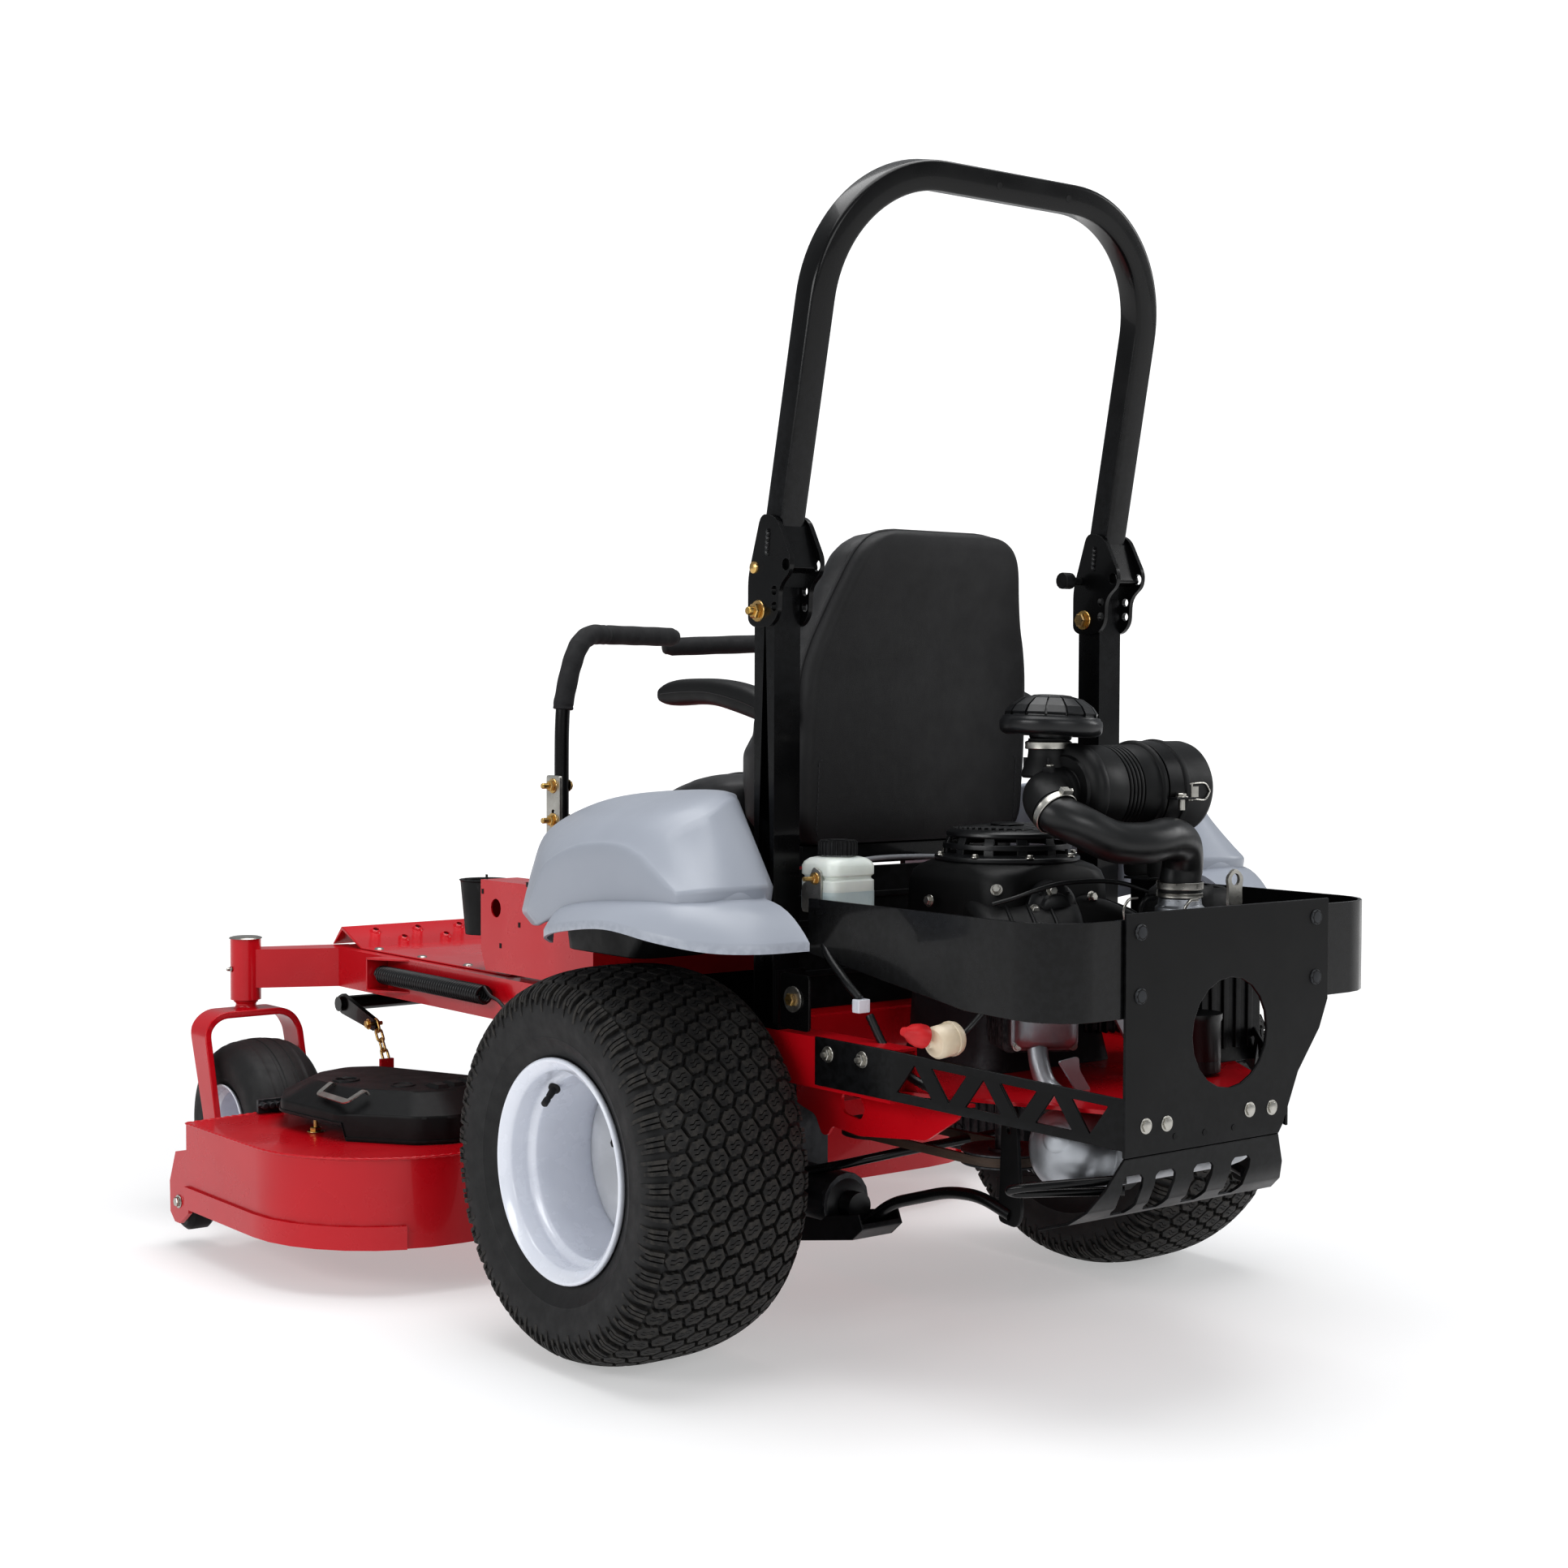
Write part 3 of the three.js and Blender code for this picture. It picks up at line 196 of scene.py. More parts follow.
def add_wear(nodes, links, where, color, edge):
    """The colour with a broken edge colour over it where the surface turns sharply."""
    tint, amount = edge
    sharp = nodes.new("ShaderNodeNewGeometry").outputs["Pointiness"]
    broken = add_noise(nodes, links, where, 90.0)
    worn = nodes.new("ShaderNodeMath")
    worn.operation = "MULTIPLY"
    links.new(ranged(nodes, links, sharp, 0.0, amount, 0.53, 0.62), worn.inputs[0])
    links.new(ranged(nodes, links, broken, 0.0, 1.0, 0.4, 0.6), worn.inputs[1])
    over = nodes.new("ShaderNodeMix")
    over.data_type = "RGBA"
    over.inputs["B"].default_value = rgb(*tint)
    links.new(color, over.inputs["A"])
    links.new(worn.outputs[0], over.inputs["Factor"])
    return over.outputs["Result"]


def add_grain(nodes, links, where, grain, shader):
    """Layers of fine relief, one bump on another."""
    below = None
    for kind, scale, height in grain:
        if kind == "noise":
            texture = add_noise(nodes, links, where, scale, 3.0)
        else:
            cells = nodes.new("ShaderNodeTexVoronoi")
            cells.feature = "DISTANCE_TO_EDGE"
            cells.inputs["Scale"].default_value = scale
            links.new(where, cells.inputs["Vector"])
            texture = ranged(nodes, links, cells.outputs["Distance"], 0.0, 1.0, 0.0, 0.16)
        bump = nodes.new("ShaderNodeBump")
        bump.inputs["Strength"].default_value = 1.0
        bump.inputs["Distance"].default_value = height * MM
        links.new(texture, bump.inputs["Height"])
        if below:
            links.new(below, bump.inputs["Normal"])
        below = bump.outputs["Normal"]
    links.new(below, shader.inputs["Normal"])


def finish_of(name, base, other, rough, grain, patch, metallic=0.0, coat=0.0, coat_rough=0.06,
              edge=None, subsurface=0.0, stretch=None, specular=0.5, sheen=0.0):
    """A surface with two sRGB colours in soft patches, uneven gloss, layers of grain, and worn edges.

    rough is the lowest and highest roughness, patch the scale of the patches per metre, grain a list
    of (noise or leather, scale per metre, height in mm), and edge a colour and how strongly it shows."""
    material = bpy.data.materials.new(name)
    material.use_nodes = True
    nodes, links = material.node_tree.nodes, material.node_tree.links
    shader = nodes["Principled BSDF"]
    shader.inputs["Metallic"].default_value = metallic
    shader.inputs["Coat Weight"].default_value = coat
    shader.inputs["Coat Roughness"].default_value = coat_rough
    shader.inputs["Specular IOR Level"].default_value = specular
    shader.inputs["Sheen Weight"].default_value = sheen
    where = nodes.new("ShaderNodeTexCoord").outputs["Object"]
    if stretch:
        scaled = nodes.new("ShaderNodeMapping")
        scaled.inputs["Scale"].default_value = stretch
        links.new(where, scaled.inputs["Vector"])
        where = scaled.outputs["Vector"]
    patches = add_noise(nodes, links, where, patch)
    mix = nodes.new("ShaderNodeMix")
    mix.data_type = "RGBA"
    mix.inputs["A"].default_value = rgb(*base)
    mix.inputs["B"].default_value = rgb(*other)
    links.new(ranged(nodes, links, patches, 0.0, 1.0), mix.inputs["Factor"])
    color = mix.outputs["Result"]
    if edge:
        color = add_wear(nodes, links, where, color, edge)
    links.new(color, shader.inputs["Base Color"])
    smears = add_noise(nodes, links, where, patch * 4.3, 6.0)
    links.new(ranged(nodes, links, smears, *rough), shader.inputs["Roughness"])
    if subsurface:
        shader.inputs["Subsurface Weight"].default_value = subsurface
        shader.inputs["Subsurface Radius"].default_value = (0.03, 0.03, 0.025)
        shader.inputs["Subsurface Scale"].default_value = 1.0
    add_grain(nodes, links, where, grain, shader)
    return material


MATERIALS = dict(
    red=finish_of("red_paint", (196, 12, 30), (180, 8, 26), (0.24, 0.36), patch=2.5,
                  grain=[("noise", 260, 0.02)], coat=0.3, coat_rough=0.05, specular=0.35,
                  edge=((214, 60, 66), 0.12)),
    black=finish_of("black_paint", (9, 9, 10), (6, 6, 7), (0.22, 0.34), patch=3.0, specular=0.25,
                    grain=[("noise", 300, 0.02)], coat=0.2, coat_rough=0.06, edge=((50, 52, 56), 0.3)),
    satin_black=finish_of("satin_black_paint", (11, 11, 12), (8, 8, 9), (0.3, 0.42), patch=4.0, specular=0.25,
                          grain=[("noise", 900, 0.03)], edge=((56, 58, 62), 0.3)),
    plastic=finish_of("black_plastic", (16, 17, 18), (12, 12, 13), (0.42, 0.56), patch=6.0, specular=0.3,
                      grain=[("noise", 1500, 0.05)], edge=((70, 71, 74), 0.25)),
    gloss_plastic=finish_of("gloss_black_plastic", (20, 21, 23), (15, 16, 18), (0.28, 0.4), patch=6.0,
                            grain=[("noise", 700, 0.03)]),
    grey=finish_of("grey_plastic", (158, 163, 173), (150, 155, 165), (0.36, 0.46), patch=3.0,
                   grain=[("noise", 1100, 0.06)], coat=0.12, coat_rough=0.2, edge=((206, 210, 218), 0.3)),
    clear=finish_of("clear_plastic", (222, 226, 220), (206, 213, 208), (0.3, 0.42), patch=14.0,
                    grain=[("noise", 240, 0.08)], subsurface=0.45),
    fluid=finish_of("hydraulic_fluid", (196, 208, 206), (182, 198, 200), (0.25, 0.35), patch=20.0,
                    grain=[("noise", 160, 0.08)], subsurface=0.3),
    yellow=finish_of("yellow_plastic", (214, 168, 10), (198, 150, 6), (0.3, 0.42), patch=30.0,
                     grain=[("noise", 900, 0.04)]),
    rubber=finish_of("tyre_rubber", (24, 24, 25), (18, 18, 19), (0.56, 0.72), patch=9.0,
                     grain=[("noise", 420, 0.12), ("noise", 2400, 0.05)], edge=((62, 60, 57), 0.4)),
    tread=finish_of("tread_rubber", (23, 22, 22), (16, 16, 16), (0.62, 0.8), patch=14.0,
                    grain=[("noise", 520, 0.15), ("noise", 2600, 0.06)], edge=((66, 62, 57), 0.45)),
    hose=finish_of("hose_rubber", (24, 25, 26), (18, 19, 20), (0.3, 0.42), patch=9.0,
                   grain=[("noise", 900, 0.04)]),
    white=finish_of("white_paint", (232, 235, 243), (222, 226, 236), (0.2, 0.32), patch=7.0,
                    grain=[("noise", 240, 0.03)], coat=0.5, coat_rough=0.06),
    dish=finish_of("wheel_disc_paint", (222, 224, 230), (188, 190, 194), (0.3, 0.5), patch=9.0,
                   grain=[("noise", 200, 0.05)], coat=0.2),
    zinc=finish_of("zinc", (196, 194, 188), (168, 166, 160), (0.26, 0.42), metallic=1.0, patch=40.0,
                   grain=[("noise", 800, 0.03)]),
    gold=finish_of("yellow_zinc", (214, 178, 104), (186, 158, 118), (0.24, 0.4), metallic=1.0, patch=60.0,
                   grain=[("noise", 900, 0.03)]),
    cast=finish_of("cast_metal", (58, 60, 63), (42, 43, 46), (0.4, 0.58), metallic=0.5, patch=16.0,
                   grain=[("noise", 620, 0.25)], edge=((120, 121, 122), 0.4)),
    alloy=finish_of("cast_aluminium", (172, 175, 180), (140, 143, 148), (0.36, 0.54), metallic=0.9,
                    patch=18.0,
                    grain=[("noise", 700, 0.22)], edge=((208, 210, 212), 0.4)),
    steel=finish_of("blade_steel", (120, 120, 122), (92, 92, 95), (0.3, 0.46), metallic=1.0, patch=12.0,
                    grain=[("noise", 600, 0.06)], stretch=(4, 1, 4)),
    silver=finish_of("aluminised_steel", (190, 193, 198), (164, 168, 173), (0.34, 0.5), metallic=0.85,
                     patch=9.0, grain=[("noise", 300, 0.08)]),
    vinyl=finish_of("vinyl", (27, 27, 29), (20, 20, 22), (0.4, 0.54), patch=7.0,
                    grain=[("leather", 420, 0.14), ("noise", 46, 0.5)], coat=0.08, coat_rough=0.3,
                    sheen=0.02),
    backcloth=finish_of("seat_back_vinyl", (21, 21, 23), (15, 15, 17), (0.5, 0.62), patch=6.0,
                        grain=[("leather", 520, 0.1), ("noise", 30, 0.5)]),
    thread=finish_of("stitching", (60, 60, 64), (44, 44, 48), (0.6, 0.75), patch=80.0,
                     grain=[("noise", 3000, 0.1)]),
    foam=finish_of("foam_grip", (32, 32, 34), (24, 24, 26), (0.74, 0.88), patch=14.0,
                   grain=[("noise", 1800, 0.25), ("noise", 160, 0.25)]),
    belt=finish_of("belt_rubber", (74, 58, 46), (50, 40, 33), (0.6, 0.75), patch=20.0,
                   grain=[("noise", 900, 0.2)], stretch=(1, 1, 6)),
    filter=finish_of("filter_plastic", (226, 212, 190), (206, 190, 166), (0.3, 0.42), patch=30.0,
                     grain=[("noise", 500, 0.05)], subsurface=0.3),
    cable=finish_of("grey_cable", (150, 152, 156), (128, 130, 134), (0.4, 0.55), patch=30.0,
                    grain=[("noise", 900, 0.05)]),
    red_plastic=finish_of("red_boot", (206, 40, 44), (180, 28, 34), (0.36, 0.5), patch=30.0,
                          grain=[("noise", 700, 0.06)]),
    # painted shade: a near-black finish for flat discs and patches laid where holes are, standing for the
    # shade inside them
    hole_shade=finish_of("painted_hole_shade", (10, 10, 11), (7, 7, 8), (0.7, 0.85), patch=10.0,
                   grain=[("noise", 300, 0.1)]),
)


def add_bevel(obj, width, angle, segments):
    """Rounds the edges that are sharper than an angle in degrees, and evens the shading."""
    edge = obj.modifiers.new("edge", "BEVEL")
    edge.width = width * MM
    edge.segments = segments
    edge.limit_method = "ANGLE"
    edge.angle_limit = math.radians(angle)
    even = obj.modifiers.new("even", "WEIGHTED_NORMAL")
    even.keep_sharp = True
    return edge


def dress(finish, bevel, *names):
    """Gives CAD nodes their finish, with edges rounded to a width in mm."""
    for name in names:
        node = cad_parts[name]
        mesh = node.data
        mesh.materials.clear()
        mesh.materials.append(MATERIALS[finish])
        mesh.polygons.foreach_set("use_smooth", [True] * len(mesh.polygons))
        weld = node.modifiers.new("weld", "WELD")
        weld.merge_threshold = 0.03 * MM
        flat = node.modifiers.new("flat", "DECIMATE")
        flat.decimate_type = "DISSOLVE"
        flat.angle_limit = math.radians(0.6)
        add_bevel(node, bevel, 30.0, 2).miter_outer = "MITER_ARC"


# ---- shape tools --------------------------------------------------------------------------
def turn_to(axis):
    """A rotation that takes +Z to the axis."""
    return Vector(axis).normalized().to_track_quat("Z", "Y").to_matrix()


def spline(a, b, c, d, t):
    """The point at t, from 0 to 1, between b and c on a smooth curve through four points (Catmull-Rom)."""
    return 0.5 * (2 * b + (c - a) * t + (2 * a - 5 * b + 4 * c - d) * t * t
                  + (3 * b - a - 3 * c + d) * t ** 3)


def curve_through(points, steps=8):
    """A smooth run of points through the given ones."""
    pts = [Vector(p) for p in points]
    ends = [pts[0] * 2 - pts[1], *pts, pts[-1] * 2 - pts[-2]]
    out = []
    for near in zip(ends, ends[1:], ends[2:], ends[3:]):
        out += [spline(*near, k / steps) for k in range(steps)]
    return out + [pts[-1]]


def between_rings(rings, steps):
    """Rings that run smoothly through the given ones."""
    rings = [[Vector(p) for p in ring] for ring in rings]
    ends = [rings[0], *rings, rings[-1]]
    out = []
    for near in zip(ends, ends[1:], ends[2:], ends[3:]):
        for k in range(steps):
            out.append([spline(*points, k / steps) for points in zip(*near)])
    return out + [rings[-1]]


def round_corner(a, b, c, radius, share, steps):
    """The points that round the corner at b, cut back by the radius or by that share of a side."""
    u, v = a - b, c - b
    cut = min(radius, u.length * share, v.length * share)
    p, q = b + u.normalized() * cut, b + v.normalized() * cut
    return [(1 - t) ** 2 * p + 2 * t * (1 - t) * b + t * t * q for t in (k / steps for k in range(steps + 1))]


def rounded_path(points, radius, steps=6):
    """Straight runs with their corners rounded to a radius."""
    pts = [Vector(p) for p in points]
    out = [pts[0]]
    for a, b, c in zip(pts, pts[1:], pts[2:]):
        out += round_corner(a, b, c, radius, 0.48, steps)
    return out + [pts[-1]]


def filleted(outline, radius, steps=4):
    """A closed outline with its corners rounded."""
    pts = [Vector(p) for p in outline]
    out = []
    for a, b, c in zip([pts[-1], *pts], pts, [*pts[1:], pts[0]]):
        out += [tuple(p) for p in round_corner(a, b, c, radius, 0.45, steps)]
    return out


def circle(radius, sides, cx=0.0, cy=0.0):
    """A round outline about a centre."""
    return [(cx + radius * math.cos(2 * math.pi * i / sides), cy + radius * math.sin(2 * math.pi * i / sides))
            for i in range(sides)]


def rounded_box(x0, x1, y0, y1, r, steps=6):
    """A rectangle with its corners rounded to r."""
    corners = ((x1 - r, y0 + r, -90), (x1 - r, y1 - r, 0), (x0 + r, y1 - r, 90), (x0 + r, y0 + r, 180))
    out = []
    for cx, cy, start in corners:
        for k in range(steps + 1):
            a = math.radians(start + 90 * k / steps)
            out.append((cx + r * math.cos(a), cy + r * math.sin(a)))
    return out


def box_rings(levels, steps):
    """Rounded rectangles, each given as (height, x0, x1, y0, y1, radius), as rings."""
    return [[(x, y, z) for x, y in rounded_box(*box, steps)] for z, *box in levels]


def arc(at, axis, radius, height, angles):
    """Points at a radius about an axis, at a height along it and at each angle."""
    at, turn = Vector(at), turn_to(axis)
    return [at + turn @ Vector((radius * math.cos(a), radius * math.sin(a), height)) for a in angles]


def full_turn(sides):
    """The angles of a full turn, in equal steps."""
    return [2 * math.pi * i / sides for i in range(sides)]


class Piece:
    """One visible piece, built up in drawing millimetres."""

    def __init__(self, name, finish, body="chassis"):
        self.name, self.body, self.finish = name, body, finish
        self.bm = bmesh.new()

    def grid(self, rings, caps=True):
        """A skin over closed rings that all have the same number of points."""
        n = len(rings[0])
        verts = [[self.bm.verts.new(p) for p in ring] for ring in rings]
        for a, b in zip(verts, verts[1:]):
            for i in range(n):
                j = (i + 1) % n
                self.bm.faces.new((a[i], a[j], b[j], b[i]))
        if caps:
            self.bm.faces.new(verts[0][::-1])
            self.bm.faces.new(verts[-1])

    def lathe(self, profile, at, axis=(0, 0, 1), sides=48):
        """A profile of (radius, height) turned about an axis. It is closed where its ends are at radius 0."""
        rows = []
        for r, h in profile:
            angles = full_turn(sides) if r > 0 else [0.0]
            rows.append([self.bm.verts.new(p) for p in arc(at, axis, r, h, angles)])
        for a, b in zip(rows, rows[1:]):
            for i in range(sides):
                j = (i + 1) % sides
                ring = [a[i % len(a)], a[j % len(a)], b[j % len(b)], b[i % len(b)]]
                ring = [v for k, v in enumerate(ring) if v not in ring[:k]]
                if len(ring) > 2:
                    self.bm.faces.new(ring)

    def rod(self, radius, low, high, at, axis=(0, 0, 1), sides=48):
        """A plain round bar about an axis, from one height along it to another."""
        self.lathe([(0, low), (radius, low), (radius, high), (0, high)], at, axis, sides)

    def ring(self, profile, at, axis=(0, 0, 1), sides=48):
        """A closed profile turned about an axis into a ring."""
        self.lathe(list(profile) + [profile[0]], at, axis, sides)

    def tube(self, path, radius, sides=14, up=None):
        """A round bar along a path; radius is a number or one per point."""
        radii = radius if isinstance(radius, (list, tuple)) else [radius] * len(path)
        self.sweep(path, circle(1.0, sides), radii, up)

    def bar(self, path, outline, up=None):
        """A bar of one outline along a path; up sets which way the outline's second axis points."""
        self.sweep(path, outline, [1.0] * len(path), up)

    def sweep(self, path, outline, scales, up):
        """A skin over an outline at each point of a path, square to the path, at a scale for each point."""
        pts = [Vector(p) for p in path]
        last = len(pts) - 1
        tangents = [(pts[min(i + 1, last)] - pts[max(i - 1, 0)]).normalized() for i in range(last + 1)]
        side = Vector(up) if up else Vector((0, 0, 1)) if abs(tangents[0].z) < 0.9 else Vector((1, 0, 0))
        rings = []
        for p, t, scale in zip(pts, tangents, scales):
            side = (side - t * side.dot(t)).normalized()
            other = t.cross(side)
            rings.append([p + (other * u + side * v) * scale for u, v in outline])
        self.grid(rings)

    def block(self, low, high, turn=None, about=(0, 0, 0)):
        """A box; turn, a 3x3 matrix, turns it about a point."""
        xs, ys, zs = zip(low, high)
        corners = [Vector((x, y, z)) for z in zs for y in ys for x in xs]
        if turn is not None:
            corners = [Vector(about) + turn @ (c - Vector(about)) for c in corners]
        v = [self.bm.verts.new(c) for c in corners]
        for f in ((0, 2, 3, 1), (4, 5, 7, 6), (0, 1, 5, 4), (2, 6, 7, 3), (0, 4, 6, 2), (1, 3, 7, 5)):
            self.bm.faces.new([v[i] for i in f])

    def plate(self, plane, outline, start, end, holes=()):
        """An outline with holes in the plane, from start to end along the third axis."""
        def place(u, v, w):
            return {"yz": (w, u, v), "xz": (u, w, v), "xy": (u, v, w)}[plane]
        edges = []
        for loop in [outline, *holes]:
            vs = [self.bm.verts.new(place(u, v, start)) for u, v in loop]
            edges += [self.bm.edges.new((vs[i], vs[(i + 1) % len(vs)])) for i in range(len(vs))]
        made = bmesh.ops.triangle_fill(self.bm, edges=edges, use_beauty=True, use_dissolve=False)
        faces = [g for g in made["geom"] if isinstance(g, bmesh.types.BMFace)]
        moved = bmesh.ops.extrude_face_region(self.bm, geom=faces)
        top = [g for g in moved["geom"] if isinstance(g, bmesh.types.BMVert)]
        bmesh.ops.translate(self.bm, verts=top, vec=Vector(place(0, 0, end - start)))

    def bolt(self, at, axis, size=8.0, washer=True, tall=None):
        """A hexagon head with its washer, its seat at a point, facing along the axis."""
        tall = tall or size * 0.62
        seat = 1.8 if washer else 0.0
        if washer:
            self.lathe([(0, 0), (size * 1.32, 0), (size * 1.38, 0.5), (size * 1.32, seat), (0, seat)], at,
                       axis, 20)
        rows = [(size * 0.94, seat), (size, seat + 1), (size, seat + tall * 0.8), (size * 0.86, seat + tall)]
        self.grid([arc(at, axis, r, h, full_turn(6)) for r, h in rows])

    def done(self, bevel=0.0, angle=32.0, segments=2, replaces=(), side=LEFT):
        """Makes the object in the row frame, on its body, mirrored where it is on the right."""
        bm = self.bm
        for v in bm.verts:
            v.co.x *= side
        bmesh.ops.recalc_face_normals(bm, faces=bm.faces)
        for v in bm.verts:
            v.co = row(v.co)
        for f in bm.faces:
            f.smooth = True
        limit = math.radians(angle)
        for e in bm.edges:
            e.smooth = bool(bevel) or (len(e.link_faces) == 2 and e.calc_face_angle(0.0) < limit)
        mesh = bpy.data.meshes.new(self.name)
        bm.to_mesh(mesh)
        bm.free()
        mesh.materials.append(MATERIALS[self.finish])
        obj = bpy.data.objects.new(self.name, mesh)
        scene.collection.objects.link(obj)
        if bevel:
            add_bevel(obj, bevel, angle, segments)
        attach(obj, self.body)
        if replaces:
            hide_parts(*replaces)
        return obj




# ---- cords --------------------------------------------------------------------------------
CORDS = (
    ("throttle_cable", "hose", 7.0, [(150, 404, 706), (128, 428, 716), (100, 444, 727), (60, 455, 736),
                                     (0, 468, 738), (-40, 486, 734), (-70, 512, 722)]),
    ("fuel_line", "hose", 9.0, [(298, 500, 535), (284, 497, 541), (256, 486, 552), (226, 474, 566),
                                (206, 462, 584)]),
    ("seat_switch_cable", "cable", 8.0, [(214, 80, 730), (200, 87, 744), (170, 90, 751), (100, 92, 756),
                                         (0, 91, 754), (-60, 88, 748), (-108, 80, 730)]),
)


def add_cord(name, finish, diameter, points):
    """A cord held at both ends, which goes back into the object."""
    run = curve_through(points, 12)
    piece = Piece(name, finish)
    piece.tube(run, diameter / 2, 16)
    obj = piece.done(angle=60)


for cord in CORDS:
    add_cord(*cord)


# ---- wheels -------------------------------------------------------------------------------
REAR_TYRE = dict(radius=302.0, x=531.0, tread=8.0, shoulder=130.0)
TREAD = dict(columns=8, pitch=30.0, rows=52)
CASTER_TYRE = dict(radius=170.0, x=525.0, y=-1283.0)


def tread_radius(x):
    """The outer radius of the drive tyre's tread, x across from its middle."""
    return REAR_TYRE["radius"] - 24.0 * (abs(x) / REAR_TYRE["shoulder"]) ** 3


def slit(points, half):
    """The outline of a narrow cut along a line of points."""
    return [(u, v + half) for u, v in points] + [(u, v - half) for u, v in reversed(points)]


def tread_block():
    """The points, the faces on top and the outlines of one tread block with its two sipes."""
    block = [(-17, 0), (-9, -15.5), (-1, -15.5), (1, -13), (9, -13), (17, 0), (9, 15.5), (1, 15.5), (-1, 13),
             (-9, 13)]
    zigzag = [(-8.5, -3.5), (-2.5, -3.5), (2.5, 1.5), (8.5, 1.5)]
    outlines = [block, *(slit([(u, v + lift) for u, v in zigzag], 0.8) for lift in (-2.5, 4.5))]
    flat = bmesh.new()
    edges, loops, start = [], [], 0
    for outline in outlines:
        vs = [flat.verts.new((u, v, 1)) for u, v in outline]
        edges += [flat.edges.new((vs[i], vs[(i + 1) % len(vs)])) for i in range(len(vs))]
        loops.append(list(range(start, start + len(vs))))
        start += len(vs)
    bmesh.ops.triangle_fill(flat, edges=edges, use_beauty=True)
    flat.verts.index_update()
    points = [(v.co.x, v.co.y) for v in flat.verts]
    tops = [[v.index for v in f.verts] for f in flat.faces]
    flat.free()
    return points, tops, loops


def add_tread_blocks(tread, centre, around):
    """Rows of blocks around the tyre, each second row half a block further on."""
    points, tops, loops = tread_block()

    def spot(x, along, height):
        radius = tread_radius(x) - REAR_TYRE["tread"] + height
        a = along / REAR_TYRE["radius"]
        return centre + Vector((x, radius * math.sin(a), radius * math.cos(a)))

    for column in range(TREAD["columns"]):
        x = (column - (TREAD["columns"] - 1) / 2) * TREAD["pitch"]
        for k in range(TREAD["rows"]):
            along = (k + 0.5 * (column % 2)) * around
            top = [tread.bm.verts.new(spot(x + u * 0.97, along + v, REAR_TYRE["tread"])) for u, v in points]
            foot = [tread.bm.verts.new(spot(x + u * 1.02, along + v * 1.04, -0.6)) for u, v in points]
            for f in tops:
                tread.bm.faces.new([top[i] for i in f])
            for loop in loops:
                for i, j in zip(loop, loop[1:] + loop[:1]):
                    tread.bm.faces.new((top[i], top[j], foot[j], foot[i]))


def add_shoulder_lugs(tread, centre, around):
    """Comb-shaped lugs that run over the tyre's shoulders, three fingers to a block."""
    edge = [(120, 7.6), (127, 7.0), (134, 5.8), (138.6, 4.2), (141.2, 2.6), (142.4, 0.6)]
    radii = [tread_radius(120) - 8, 271, 265.5, 258, 250, 240]
    for end in (1, -1):
        for k in range(TREAD["rows"]):
            for finger, reach in ((-8.5, 6), (0.5, 4), (9.5, 5)):
                along = (k + (0.5 if end > 0 else 0.0)) * around + finger
                rings = []
                for (x, lift), r in list(zip(edge, radii))[:reach]:
                    out = Vector((0.35, 0.94, 0) if x < 130 else (0.8, 0.6, 0)).normalized()
                    ring = []
                    for wide, up in ((-3.6, -1), (3.6, -1), (3.2, lift), (-3.2, lift)):
                        radius = r + out.y * up
                        a = (along + wide) / REAR_TYRE["radius"]
                        ring.append(centre + Vector((end * (x + out.x * up), radius * math.sin(a),
                                                     radius * math.cos(a))))
                    rings.append(ring)
                tread.grid(rings)


def add_rear_tyre(side, name):
    """The drive tyre's carcass and its turf tread."""
    centre = Vector((REAR_TYRE["x"], 0, REAR_TYRE["radius"]))
    crown = [(tread_radius(x) - REAR_TYRE["tread"], x) for x in (i * 10.0 for i in range(-12, 13))]
    wall = [(152, -108), (158, -113), (170, -119), (176, -123.5), (179, -123.5), (190, -130), (200, -134.5),
            (202, -136.2), (205, -136), (222, -140.5), (240, -142.4), (252, -141.4), (262, -137), (268, -130)]
    profile = wall + crown + [(r, -h) for r, h in reversed(wall)] + [(150.8, 98), (150.8, -98)]
    tyre = Piece("tyre_" + name, "rubber", "rear_wheel_" + name)
    tyre.ring(profile, centre, (1, 0, 0), 128)
    tyre.done(angle=40, replaces=["rear_tyre_" + name], side=side)
    tread = Piece("tread_" + name, "tread", "rear_wheel_" + name)
    around = 2 * math.pi * REAR_TYRE["radius"] / TREAD["rows"]
    add_tread_blocks(tread, centre, around)
    add_shoulder_lugs(tread, centre, around)
    tread.done(angle=25, side=side)


def smooth_profile(points, steps=4):
    """A lathe profile with its bends rounded."""
    return [(p.x, p.y) for p in curve_through([(r, h, 0) for r, h in points], steps)]


